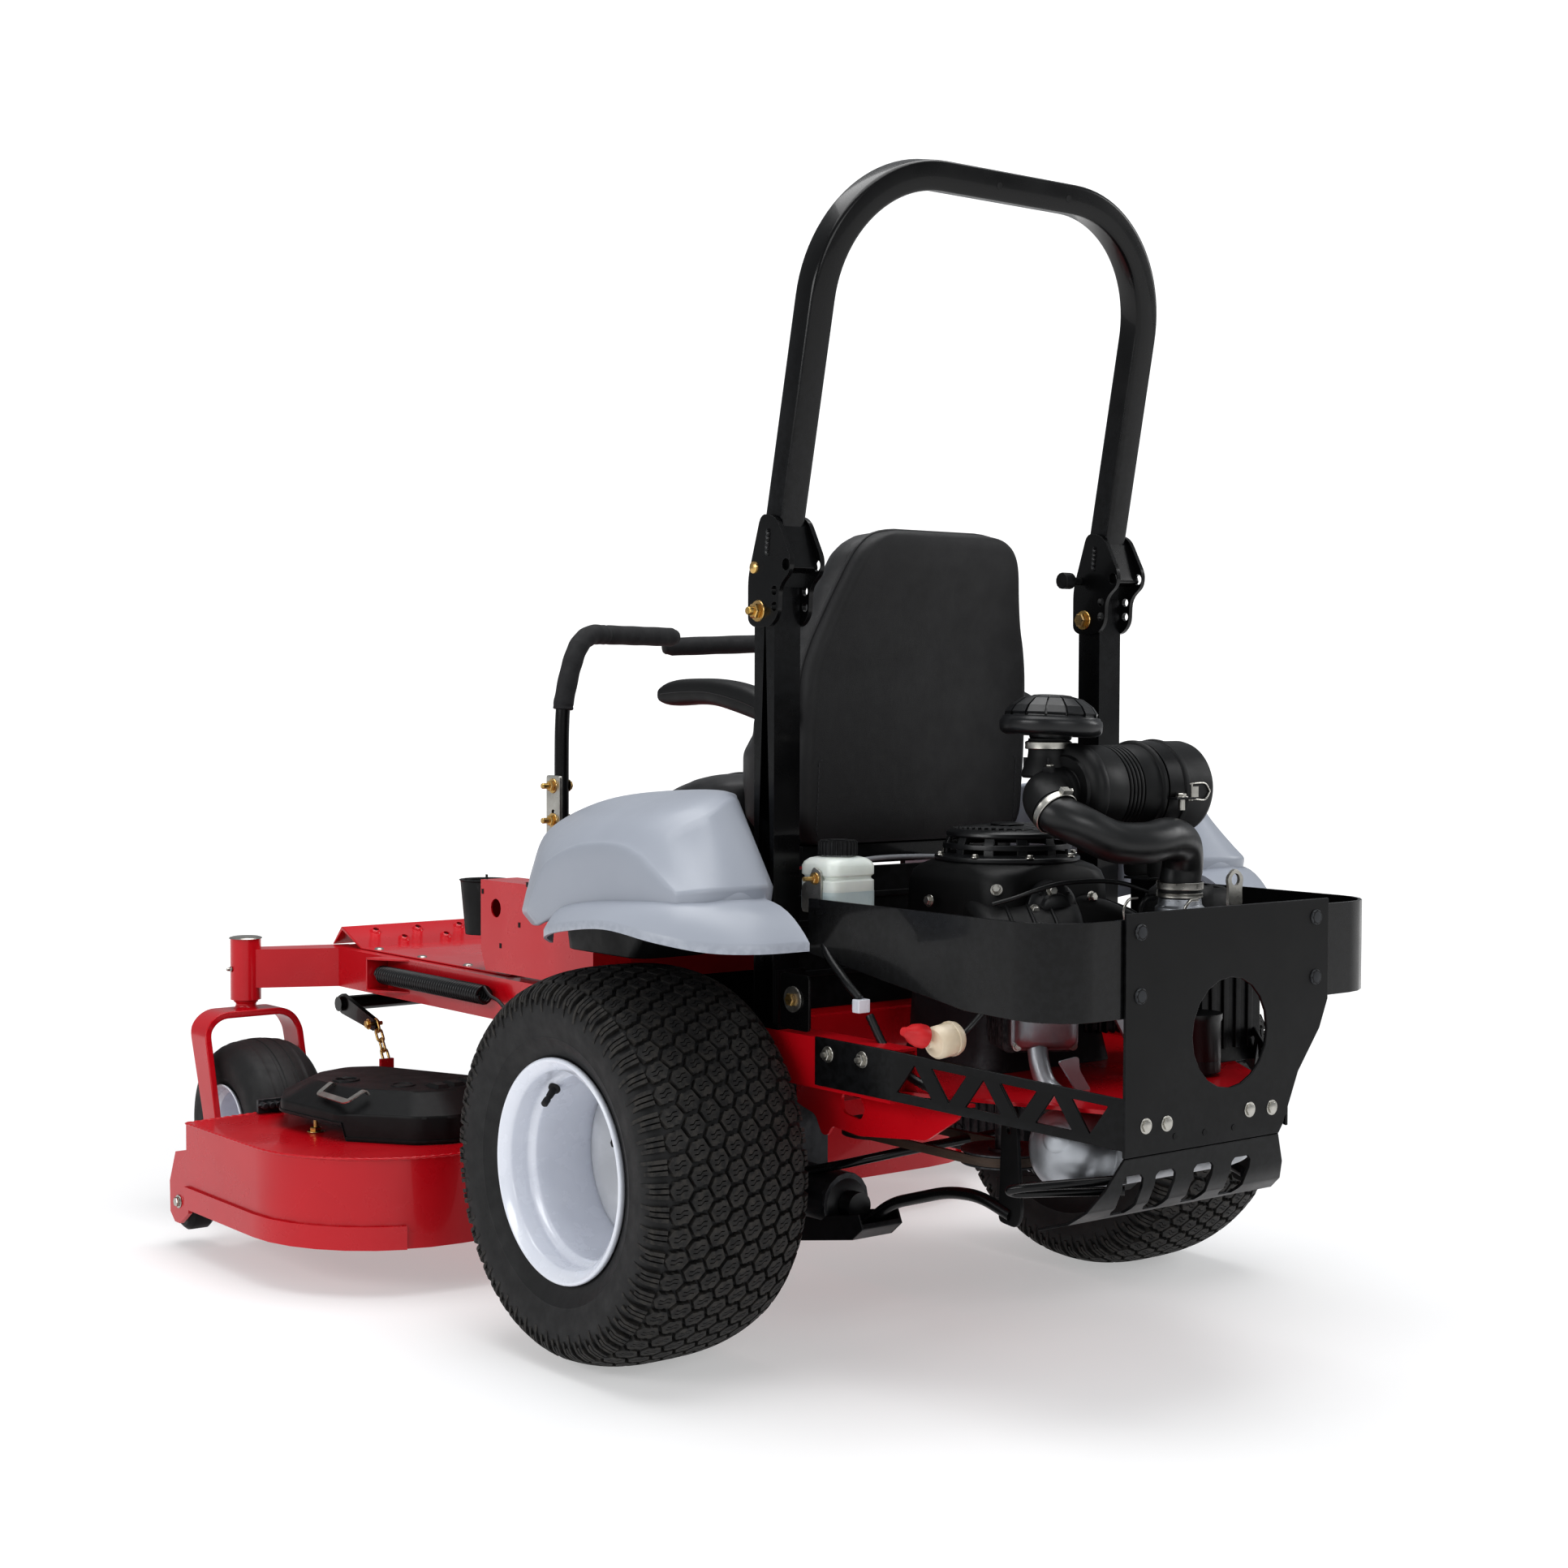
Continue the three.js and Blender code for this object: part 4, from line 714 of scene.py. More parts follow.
def add_rear_rim(side, name):
    """The drive wheel's rim, its dished disc, the hub with its nuts, and the valve."""
    centre = (REAR_TYRE["x"], 0, REAR_TYRE["radius"])
    rim = Piece("rim_" + name, "white", "rear_wheel_" + name)
    inner = [(140, -26), (139, 10), (138.5, 50), (139, 74), (141, 80), (146, 84), (149, 88), (149.6, 96),
             (151, 103),
             (156, 109), (163, 114), (167, 119), (170, 122), (171, 126), (170, 129.5), (166.5, 131),
             (163, 129)]
    back = [(158, 124), (151.5, 119), (150, 114), (150, -114), (158, -124), (163, -129), (168, -130),
            (171, -126),
            (167, -119), (156, -109), (149, -100), (146, -84), (140, -78)]
    rim.ring(smooth_profile(inner) + back, centre, (1, 0, 0), 128)
    rim.done(angle=50, replaces=["rear_rim_" + name], side=side)
    disc = Piece("wheel_disc_" + name, "dish", "rear_wheel_" + name)
    disc.lathe([(0, -30), (36, -30), (38, -36), (50, -38), (86, -38), (96, -33), (112, -22), (126, -18),
                (136, -22),
                (139, -28), (139, -34), (120, -30), (96, -44), (40, -44), (0, -44)], centre, (1, 0, 0), 96)
    disc.done(angle=50, side=side)
    hub = Piece("wheel_hub_" + name, "satin_black", "rear_wheel_" + name)
    hub.lathe([(0, -14), (20, -14), (22, -17), (24, -30), (30, -32), (34, -39), (0, -39)], centre, (1, 0, 0),
              40)
    for k in range(5):
        a = math.radians(72 * k + 20)
        at = Vector(centre) + Vector((-38, 62 * math.cos(a), 62 * math.sin(a)))
        hub.lathe([(0, 26), (7, 26), (8, 24), (8, 6), (16, 0), (0, 0)], at, (1, 0, 0), 6)
    hub.lathe([(0, 0), (48, 0), (52, -3), (52, -96), (30, -100), (0, -100)],
              Vector(centre) + Vector((-46, 0, 0)), (1, 0, 0), 40)
    hub.done(angle=35, side=side)
    valve = Piece("valve_" + name, "rubber", "rear_wheel_" + name)
    a = math.radians(128 if side == LEFT else 60)
    foot = Vector(centre) + Vector((78, 139 * math.cos(a), 139 * math.sin(a)))
    lean = Vector((0.75, -0.66 * math.cos(a), -0.66 * math.sin(a)))
    valve.lathe([(0, 0), (10, 0), (9.5, 3), (6, 5), (5.4, 20), (4.4, 22), (4.4, 26), (5.6, 27), (5.6, 38),
                 (4, 40),
                 (0, 40)], foot, lean, 20)
    valve.done(side=side)


def add_caster(side, name):
    """A smooth ribbed caster tyre on its one-piece rim."""
    centre = (CASTER_TYRE["x"], CASTER_TYRE["y"], CASTER_TYRE["radius"])
    body = "caster_wheel_" + name
    half = [(76, -64), (82, -70), (96, -76), (99, -77.6), (102, -77.4), (118, -79.5), (132, -79), (144, -74),
            (154, -65), (160.5, -54), (161, -50), (164.5, -42), (165, -38)]
    crown = [(169.0 - 5.0 * (x / 38.0) ** 2 - (1.8 if abs(abs(x) - 14) < 3.5 else 0), x)
             for x in (-36, -30, -24, -18.5, -17, -14, -11, -9.5, -4, 4, 9.5, 11, 14, 17, 18.5, 24, 30, 36)]
    tyre = Piece("caster_tyre_mesh_" + name, "rubber", body)
    tyre.ring(half + crown + [(r, -h) for r, h in reversed(half)] + [(74, 50), (74, -50)], centre, (1, 0, 0),
              112)
    tyre.done(angle=38, replaces=["caster_tyre_" + name], side=side)
    rim = Piece("caster_rim_mesh_" + name, "white", body)
    face = [(13, 84), (22, 84), (24, 80), (24, 12), (30, 7), (48, 5), (62, 8), (66, 14), (67, 44), (68, 56),
            (73, 62),
            (80, 70), (84, 74), (86, 78), (84.5, 80), (80, 77)]
    back = [(75, 66), (74, 60), (74, -60), (75, -66), (80, -77), (84.5, -80), (86, -78), (80, -70), (68, -58),
            (67, -14), (62, -2), (24, -4), (24, -84), (13, -84)]
    rim.ring(face + back, centre, (1, 0, 0), 96)
    rim.done(angle=34, bevel=0.8, replaces=["caster_rim_" + name], side=side)


for side, name in SIDES:
    add_rear_tyre(side, name)
    add_rear_rim(side, name)
    add_caster(side, name)


# ---- roll bar -----------------------------------------------------------------------------
POST = dict(outer=373.0, width=50.0, front=109.0, depth=49.0)
HOOP = dict(lean=11.5, tube=46.0, pivot_y=128.0, pivot_z=1144.0, low=1206.0, high=1835.0, bend=205.0,
            plate=8.0)
PIN_AT = (119.0, 1210.0)
LEVER_PIVOT = Vector((0, -494, 575))
LEVER_X = 336.0


def add_roll_bar():
    """The leaning hoop with its hinge plates, weld beads and bolts."""
    lean = math.radians(HOOP["lean"])
    half = HOOP["tube"] / 2
    leg = POST["outer"] - POST["width"] / 2
    top = leg - 4
    bend = HOOP["bend"]
    bar = (HOOP["high"] - HOOP["low"]) / math.cos(lean) - half * math.tan(lean) - half

    def spot(x, z, forward=0.0):
        y = z * math.sin(lean) - forward * math.cos(lean)
        return Vector((x, POST["front"] + POST["depth"] / 2 + 2 + y, HOOP["low"] + z * math.cos(lean)
                       + forward * math.sin(lean)))

    def corner(sign):
        a, b, c, d = ((-top, bar - bend), (-top, bar - 0.45 * bend), (-top + 0.45 * bend, bar),
                      (-top + bend, bar))
        out = []
        for k in range(25):
            t = k / 24
            w = ((1 - t) ** 3, 3 * t * (1 - t) ** 2, 3 * t * t * (1 - t), t ** 3)
            x = sum(p[0] * q for p, q in zip((a, b, c, d), w))
            z = sum(p[1] * q for p, q in zip((a, b, c, d), w))
            out.append(spot(sign * x, z))
        return out

    path = [spot(-leg, 0)] + corner(1) + corner(-1)[::-1] + [spot(leg, 0)]
    tube = Piece("roll_bar_tube", "black", "roll_bar")
    back = (0, math.cos(lean), -math.sin(lean))
    tube.bar(path, rounded_box(-half, half, -half, half, 7, 4), back)
    tube.done(angle=36, replaces=["rops_hoop"])
    # painted shade: flat near-black discs on the tube stand for the shade inside its holes
    holes = Piece("roll_bar_hole_shade", "hole_shade", "roll_bar")
    for x in (-120, 30):
        holes.lathe([(0, 0.3), (4.2, 0.3), (5.4, 0.5), (5.6, 0), (0, -1)], spot(x, bar, -half), back, 20)
    holes.done()
    outline = filleted([(103, 1128), (119, 1119), (161, 1121), (177, 1138), (179, 1180), (205, 1200),
                        (207, 1222),
                        (173, 1284), (135, 1292), (103, 1196)], 16)
    slots = [circle(7, 20, 168, 1150), circle(7, 20, 168, 1174), circle(9, 20, 196, 1212)]
    for side, name in SIDES:
        plates = Piece("roll_bar_hinge_" + name, "black", "roll_bar")
        outside = POST["outer"] + 0.4
        inside = POST["outer"] - POST["width"] - 0.4
        plates.plate("yz", outline, outside, outside + HOOP["plate"], slots)
        plates.plate("yz", outline, inside - HOOP["plate"], inside, slots)
        spread = filleted([(166, 1200), (200, 1206), (170, 1276), (150, 1282)], 6)
        plates.plate("yz", spread, inside - 1, outside + 1)
        plates.done(bevel=1.2, side=side)
        beads = Piece("roll_bar_welds_" + name, "black", "roll_bar")
        for x in (outside + HOOP["plate"] + 0.4, inside - HOOP["plate"] - 0.4):
            wave = [Vector((x, 150 + 0.14 * k + 1.2 * math.sin(k * 1.3), 1228 + 1.5 * k)) for k in range(26)]
            beads.tube(wave, 3.0, 8)
        beads.done(side=side)
        bolts = Piece("roll_bar_bolts_" + name, "gold", "roll_bar")
        at = (HOOP["pivot_y"], HOOP["pivot_z"])
        bolts.bolt((outside + HOOP["plate"], *at), (1, 0, 0), 12, tall=9)
        bolts.bolt((inside - HOOP["plate"], *at), (-1, 0, 0), 12, tall=10)
        bolts.lathe([(0, 0), (6.5, 0), (6.5, 9), (5.6, 11), (0, 11)], (outside + HOOP["plate"] + 9, *at),
                    (1, 0, 0), 20)
        bolts.lathe([(0, 0), (9.5, 0), (9, 2.5), (6, 4.4), (0, 5)], (outside + HOOP["plate"], *PIN_AT),
                    (1, 0, 0), 24)
        bolts.done(angle=30, side=side)


def add_lever(side, name, forward, reach):
    """A control lever: its bent tube, two foam sleeves, slotted plate and bolts.

    forward is its lean in degrees, and reach how far its end bar reaches inwards."""
    pivot, x = LEVER_PIVOT, LEVER_X
    lean = Matrix.Rotation(math.radians(forward), 3, "X")
    body = "lever_handle_" + name

    def spots(points):
        return [pivot + lean @ Vector(p) for p in points]

    grip = [(x - 8, 0, 430), (x - 22, 0, 486), (x - 42, -4, 526), (x - 72, -14, 544), (x - 112, -28, 546)]
    end = (x - reach, -28 - (reach - 112) * 0.35, 546)
    middle = tuple((a + b) / 2 for a, b in zip(grip[-1], end))
    lower = [(x - 3, 0, 208), (x - 3, 0, 270), (x - 3, 0, 330), (x - 4, 0, 386)]
    run = curve_through(spots(lower + grip + [middle, end]), 10)
    tube = Piece("lever_tube_" + name, "black", body)
    tube.tube(run, 12.5, 24)
    tube.done(angle=50, replaces=["lever_" + name], side=side)
    sleeve = curve_through(spots([(x - 6, 0, 414)] + grip), 10)
    foam = Piece("lever_foam_" + name, "foam", body)
    swell = [17.6 + 0.35 * math.sin(k * 0.9) for k in range(len(sleeve))]
    swell[0] = 15.5
    swell[-1] = 16.5
    foam.tube(sleeve, swell, 28)
    far = curve_through(spots([grip[-1], middle, end]), 12)
    swell = [17.2 + 0.25 * math.sin(k * 0.8) for k in range(len(far))]
    swell[0] = 16.0
    swell[-1] = 14.0
    foam.tube(far, swell, 28)
    tip = far[-1] - far[-2]
    foam.lathe([(14, -1), (14, 3), (11, 7), (5, 9), (0, 9.5)], far[-1], tip, 28)
    foam.done(angle=50, side=side)
    plate = Piece("lever_plate_" + name, "zinc", body)
    outline = filleted([(-21, 126), (21, 126), (21, 300), (-21, 300)], 6)
    holes = [circle(5, 20, 0, z) for z in (176, 206, 236)]
    plate.plate("yz", outline, x + 9, x + 15, holes)
    for v in (-21, 15):
        plate.block((x - 1, v, 118), (x + 15, v + 6, 144))
        plate.rod(11, 0, 6, (x + 5, v, 124), (0, 1, 0), 24)
    bmesh.ops.transform(plate.bm, matrix=Matrix.Translation(pivot) @ lean.to_4x4(), verts=plate.bm.verts)
    plate.done(bevel=0.8, side=side)
    bolts = Piece("lever_bolts_" + name, "gold", body)
    for z in (222, 282):
        at = pivot + lean @ Vector((x + 15, 0, z))
        bolts.bolt(at, (1, 0, 0), 9.5, tall=7)
        bolts.lathe([(0, 0), (5, 0), (5, 13), (4, 14.5), (0, 14.5)], at + Vector((8, 0, 0)), (1, 0, 0), 18)
        back = pivot + lean @ Vector((x - 15.5, 0, z))
        bolts.bolt(back, (-1, 0, 0), 8)
    bolts.done(angle=30, side=side)


add_roll_bar()
add_lever(LEFT, "left", 0.0, 310.0)
add_lever(RIGHT, "right", 7.0, 326.0)


# ---- fenders ------------------------------------------------------------------------------
# side views of the fender's outline from front to rear, each at a distance from the centre plane
FENDER_STATIONS = [
    (384, [(-440, 650), (-415, 712), (-365, 778), (-240, 828), (-100, 855), (60, 866), (85, 855),
           (172, 728)]),
    (450, [(-420, 662), (-396, 724), (-348, 790), (-221, 838), (-83, 862), (100, 873), (156, 862),
           (244, 738)]),
    (520, [(-318, 668), (-290, 728), (-240, 790), (-115, 834), (18, 852), (140, 856), (190, 842),
           (262, 738)]),
    (575, [(-236, 670), (-212, 720), (-165, 775), (-60, 814), (30, 828), (120, 830), (170, 814), (258, 738)]),
    (607, [(-172, 676), (-152, 714), (-115, 757), (-40, 787), (30, 798), (100, 798), (150, 784), (236, 734)]),
]
# foot of the skirt on the body, its outer edge, and the heights of both
SKIRT = [
    ((598, -98), (606, -104), 690, 634), ((603, -40), (641, -66), 706, 648), ((605, 50), (661, 10), 718, 664),
    ((605, 150), (664, 130), 725, 677), ((598, 222), (647, 236), 729, 665),
         ((566, 248), (604, 303), 729, 654),
    ((516, 254), (540, 340), 728, 651), ((456, 236), (456, 349), 726, 651),
]


def add_fender_body(side, name):
    """The domed fender, run smoothly through its stations and rounded off at its outer face."""
    dense = []
    for x, top in FENDER_STATIONS:
        line = curve_through([(0, u, v) for u, v in top[:7]],
                             6) + curve_through([(0, u, v) for u, v in top[6:]], 8)[1:]
        rear, front = top[-1], top[0]
        under = [(rear[0] - 8, 692), (100, 690), (max(-60, front[0] + 60), 686),
                 (front[0] + 34, front[1] - 20)]
        dense.append([Vector((x, p.y, p.z)) for p in line] + [Vector((x, u, v)) for u, v in under])
    rings = between_rings(dense, 6)
    middle = sum(dense[-1], Vector()) / len(dense[-1])
    for out, scale in ((1.6, 0.985), (3.0, 0.96), (4.4, 0.92), (5.6, 0.85), (6.6, 0.7), (7.2, 0.4)):
        rings.append([Vector((p.x + out, middle.y + (p.y - middle.y) * scale,
                              middle.z + (p.z - middle.z) * scale))
                      for p in dense[-1]])
    shell = Piece("fender_body_" + name, "grey")
    shell.grid(rings)
    shell.done(bevel=9.0, angle=36, segments=5, replaces=["fender_" + name], side=side)


def add_fender_skirt(side, name):
    """The flared lip around the outside and rear of the fender."""
    foot = curve_through([(p[0], p[1], zf) for p, q, zf, zb in SKIRT], 6)
    rim = curve_through([(q[0], q[1], zb) for p, q, zf, zb in SKIRT], 6)
    step = [(-0.06, 12), (0.03, 12), (0.075, 9), (0.09, -6), (0.13, -8)]
    rows = []
    for a, b in zip(foot, rim):
        row_points = []
        for s, lift in step:
            p = a.lerp(b, s)
            row_points.append(Vector((p.x, p.y, a.z + lift)))
        for s in (0.25, 0.4, 0.55, 0.68, 0.8, 0.9, 0.97, 1.0):
            p = a.lerp(b, s)
            fall = s ** 2.3
            row_points.append(Vector((p.x, p.y, (a.z - 8) * (1 - fall) + (b.z + 12) * fall)))
        row_points.append(Vector((b.x, b.y, b.z)))
        inward = a - b
        inward.z = 0
        inward = inward.normalized() if inward.length > 1 else Vector((-1, 0, 0))
        row_points.append(Vector((b.x, b.y, b.z)) + inward * 5)
        row_points.append(Vector((b.x, b.y, b.z + 11)) + inward * 6)
        for s in (0.85, 0.6, 0.3, 0.0):
            p = a.lerp(b, s)
            fall = s ** 2.3
            row_points.append(Vector((p.x, p.y, (a.z - 14) * (1 - fall) + (b.z + 8) * fall)) + inward * 5)
        rows.append(row_points)
    skirt = Piece("fender_skirt_" + name, "grey")
    skirt.grid(rows)
    skirt.done(angle=48, side=side)


for side, name in SIDES:
    add_fender_body(side, name)
    add_fender_skirt(side, name)


# ---- seat ---------------------------------------------------------------------------------
# height, half width, front, rear and corner radius of level cuts through the seat's back and cushion
SEAT_RINGS = [
    (779, 230, -84, 60, 40), (816, 248, -116, 66, 46), (868, 251, -121, 69, 46), (920, 252, -122, 72, 46),
    (985, 250, -98, 76, 46), (1050, 246, -66, 80, 46), (1095, 235, -43, 87, 44), (1130, 222, -24, 94, 42),
    (1175, 206, -8, 107, 40), (1220, 190, 12, 122, 40), (1245, 177, 20, 129, 38), (1262, 160, 30, 132, 34),
    (1273, 138, 40, 130, 30), (1279, 104, 52, 120, 24),
]
CUSHION_RINGS = [
    (777, 238, -404, -128, 60), (790, 248, -402, -127, 68), (811, 252, -392, -126, 70),
                 (828, 252, -374, -126, 68),
    (843, 251, -350, -126, 66), (856, 246, -316, -127, 62), (865, 238, -282, -128, 56),
                 (871, 224, -252, -130, 50),
    (874, 204, -228, -136, 44),
]


PUFF = dict(pressure=4.0, voxel=0.006, frames=14)


def seat_rings(rings, shrink):
    """Rings of a pad, drawn in by a margin that the cloth swells into."""
    return box_rings([(z, shrink - half, half - shrink, front + shrink, rear - shrink, max(r - shrink, 8))
                      for z, half, front, rear, r in rings], 7)


def puff(obj, cap):
    """Swells a closed pad with Blender's cloth, no point moving further than cap metres."""
    bpy.context.view_layer.update()
    remesh = obj.modifiers.new("remesh", "REMESH")
    remesh.mode = "VOXEL"
    remesh.voxel_size = PUFF["voxel"]
    bpy.context.view_layer.objects.active = obj
    with bpy.context.temp_override(object=obj, active_object=obj, selected_objects=[obj]):
        bpy.ops.object.modifier_apply(modifier="remesh")
    start = [v.co.copy() for v in obj.data.vertices]
    cloth = obj.modifiers.new("cloth", "CLOTH")
    cloth.settings.use_pressure = True
    cloth.settings.uniform_pressure_force = PUFF["pressure"]
    cloth.settings.effector_weights.gravity = 0.0
    cloth.settings.quality = 4
    cloth.settings.tension_stiffness = 20
    cloth.settings.bending_stiffness = 0.6
    cloth.collision_settings.use_collision = False
    for number in range(1, PUFF["frames"] + 1):
        scene.frame_set(number)
    shape = obj.evaluated_get(bpy.context.evaluated_depsgraph_get()).to_mesh()
    moved = [v.co.copy() for v in shape.vertices]
    obj.modifiers.remove(cloth)
    scene.frame_set(1)
    for v, a, b in zip(obj.data.vertices, start, moved):
        step = b - a
        if step.length > cap:
            step = step.normalized() * cap
        v.co = a + step


def smooth_mesh(obj, rounds):
    """Evens out a mesh and shades it smooth."""
    bm = bmesh.new()
    bm.from_mesh(obj.data)
    for _ in range(rounds):
        bmesh.ops.smooth_vert(bm, verts=bm.verts, factor=0.5, use_axis_x=True, use_axis_y=True,
                              use_axis_z=True)
    for f in bm.faces:
        f.smooth = True
    for e in bm.edges:
        e.smooth = True
    bm.to_mesh(obj.data)
    bm.free()


def add_pad(name, rings, node, cap):
    pad = Piece(name, "vinyl", "seat")
    pad.grid(rings)
    obj = pad.done(angle=180, replaces=[node])
    levels = 1
    puff(obj, cap)
    smooth_mesh(obj, 3)
    soft = obj.modifiers.new("soft", "SUBSURF")
    soft.levels = soft.render_levels = levels
    return obj


def surface_of(obj):
    """The finished surface of an object, for laying seams on."""
    bpy.context.view_layer.update()
    shape = obj.evaluated_get(bpy.context.evaluated_depsgraph_get())
    return BVHTree.FromObject(shape, bpy.context.evaluated_depsgraph_get())


def laid_on(tree, points, lift):
    """Drawing points moved onto a surface, a little proud of it."""
    out = []
    for p in points:
        spot, normal, _, _ = tree.find_nearest(row(p))
        out.append((spot + normal * lift * MM) / MM - SHIFT)
    return out


def add_seat_cover():
    """The flat rear cover of the back, its rolled edge, and the stitched flaps at its lower corners."""
    cover = Piece("seat_back_cover", "backcloth", "seat")
    rings = [[(x, y + 3.2 * (1 - (x / half) ** 2), z) for x, y in rounded_box(9 - half, half - 9, y1 - 46,
                                                                              y1 - 2, 20, 6)]
             for z, half, y0, y1, r in SEAT_RINGS]
    cover.grid(between_rings(rings, 4))
    shell = cover.done(angle=70)
    tree = surface_of(shell)
    welt = Piece("seat_back_piping", "vinyl", "seat")
    edge = [(6 - half, y1 - 30, z) for z, half, y0, y1, r in SEAT_RINGS[:-2]]
    edge += [(-half * 0.5, y1 - 30, 1281) for z, half, y0, y1, r in SEAT_RINGS[-2:-1]]
    path = edge + [(-x, y, z) for x, y, z in reversed(edge)]
    welt.tube(laid_on(tree, curve_through(path, 6), 0.6), 3.0, 10)
    welt.done(angle=60)
    stitches = [(-214, 90, 786 + k * 9.5) for k in range(14)] + [(-222 + k * 8, 90, 912) for k in range(1, 3)]
    for side, name in SIDES:
        flap = Piece("seat_back_flap_" + name, "thread", "seat")
        for a, b in zip(stitches, stitches[1:]):
            flap.tube(laid_on(tree, [Vector(a).lerp(Vector(b), t) for t in (0.15, 0.75)], 0.5), 0.75, 6)
        flap.done(angle=60, side=side)


def add_seat():
    """The seat's two pads, its rear cover, and the seams sewn into the pads."""
    cushion = add_pad("seat_cushion_pad", seat_rings(CUSHION_RINGS, 4), "seat_cushion", 0.009)
    front = [(z, half, y0, y1 - 20, r) for z, half, y0, y1, r in SEAT_RINGS]
    back = add_pad("seat_back_pad", seat_rings(front, 5), "seat_back", 0.010)
    add_seat_cover()
    seams = Piece("seat_seams", "vinyl", "seat")
    tree = surface_of(back)
    for x in (-150, 150):
        seams.tube(laid_on(tree, [(x, -140, z) for z in range(830, 1180, 14)], 0.4), 2.2, 8)
    for z in (940, 1060):
        seams.tube(laid_on(tree, [(x, -140, z) for x in range(-150, 151, 15)], 0.4), 1.8, 8)
    half = [(-150, -140, 900), (-150, -200, 900), (-150, -300, 900), (-150, -352, 880), (-120, -380, 860)]
    line = [*half, (0, -388, 860), *((-x, y, z) for x, y, z in reversed(half))]
    seams.tube(laid_on(surface_of(cushion), curve_through(line, 8), 0.4), 2.2, 8)
    seams.done(angle=60)


ARM_X = 281.0


def add_armrest(side, name):
    """A moulded armrest pad with the parting line along its side."""
    top = [(-250, 1018), (-244, 1030), (-226, 1038), (-200, 1042), (-150, 1043), (-90, 1042), (-40, 1036),
           (10, 1025),
           (44, 1008), (62, 990)]
    low = [(-250, 1012), (-244, 1002), (-226, 998), (-190, 998), (-150, 1000), (-110, 998), (-50, 988),
           (0, 977),
           (40, 969), (62, 980)]
    rings = []
    tops = curve_through([(0, *p) for p in top], 4)
    lows = curve_through([(0, *p) for p in low], 4)
    for k, (a, b) in enumerate(zip(tops, lows)):
        middle, tall = (a + b) / 2, max((a.z - b.z) / 2, 2)
        end = min(k, len(tops) - 1 - k)
        wide = 25 * min(1.0, 0.45 + 0.16 * end)
        ring = []
        for i in range(28):
            t = 2 * math.pi * i / 28
            c, s = math.cos(t), math.sin(t)
            ring.append((ARM_X + wide * math.copysign(abs(c) ** 0.7, c), middle.y,
                         middle.z + tall * math.copysign(abs(s) ** 0.75, s)))
        rings.append(ring)
    arm = Piece("armrest_pad_" + name, "plastic", "seat_arm_" + name)
    arm.grid(rings)
    arm.rod(17, 0, 5, (253, 40, 984), (1, 0, 0), 32)
    arm.done(angle=60, replaces=["armrest_" + name], side=side)
    seam = Piece("armrest_seam_" + name, "gloss_plastic", "seat_arm_" + name)
    seam.tube([(ARM_X + 25, (a.y + b.y) / 2, (a.z + b.z) / 2) for a, b in list(zip(tops, lows))[6:-6]], 0.9,
              6)
    seam.done(side=side)


add_seat()
for side, name in SIDES:
    add_armrest(side, name)


# ---- engine -------------------------------------------------------------------------------
ENGINE = (0.0, 276.0)
CYLINDER_ANGLES = (-31, 59)
CANISTER = (0.0, 500.0, 878.0)
CAP = (94.0, 462.0)
CARBURETTOR = (-76.0, 570.0)
STARTER_COVER = (34.0, 408.0, 694.0)
MUFFLER = (0.0, 612.0, 376.0)
OIL_FILTER = (-118.0, 566.0)
PUMP = (262.0, 236.0)
HOSE = [(158, 534, 857), (161, 552, 846), (138, 576, 830), (92, 594, 808), (36, 604, 804), (-20, 597, 809),
        (-62, 583, 798), (-78, 573, 768), (-76, 570, 740), (-76, 570, 717)]


def add_clamp(piece, at, axis, radius, wide=11.0):
    """A worm-drive hose clamp: band, screw housing and screw."""
    axis = Vector(axis).normalized()
    half = wide / 2
    piece.ring([(radius, -half), (radius + 0.6, -half), (radius + 1.6, -half + 1), (radius + 1.2, 0),
                (radius + 1.6, half - 1), (radius + 0.6, half), (radius, half)], at, axis, 56)
    turn = turn_to(axis)
    spot = Vector(at) + turn @ Vector((0, radius + 4, 0))
    piece.block(spot - Vector((7, 4, 5)), spot + Vector((7, 4, 5)), turn.to_quaternion().to_matrix(), spot)
    along = turn @ Vector((1, 0, 0))
    piece.bolt(spot + along * 8, along, 4.5, washer=False, tall=5)


def add_canister():
    """The ribbed air cleaner canister on its saddle."""
    ribs = []
    for k in range(5):
        h = 30 - 8 * k
        ribs += [(66.5, h), (66, h - 1), (63.6, h - 1.6), (63.6, h - 3.6), (66, h - 4.2), (66.5, h - 5.2)]
    shell = [(0, 104), (34, 104), (36, 101), (50, 101), (53, 97), (62, 95), (68, 89), (70, 84), (70, 76),
             (69, 73),
             (66.5, 71)] + ribs + [(66.5, -36), (67, -40), (71, -42), (72.5, -44), (72.5, -47), (70, -49),
                                   (68.5, -51),
                                   (68.5, -82), (70, -84), (73.5, -86), (74, -90), (73.5, -94), (71, -96),
                                   (70.6, -99),
                                   (70.6, -142), (69, -148), (64, -154), (54, -158), (30, -159), (0, -159)]
    can = Piece("air_cleaner_body", "plastic")
    can.lathe(shell, CANISTER, (1, 0, 0), 96)
    can.done(angle=40, replaces=["air_cleaner"])
    saddle = Piece("air_cleaner_saddle", "satin_black")
    for y in (474, 522):
        saddle.plate("xz", filleted([(-140, 744), (-56, 744), (-50, 815), (-146, 815)], 8), y, y + 4)
    saddle.block((-140, 474, 740), (-56, 526, 744))
    saddle.ring([(69, -84), (71.5, -84), (71.5, -52), (69, -52)], CANISTER, (1, 0, 0), 80)
    saddle.block((-88, 566, 864), (-46, 590, 867))
    saddle.done(bevel=1.0)


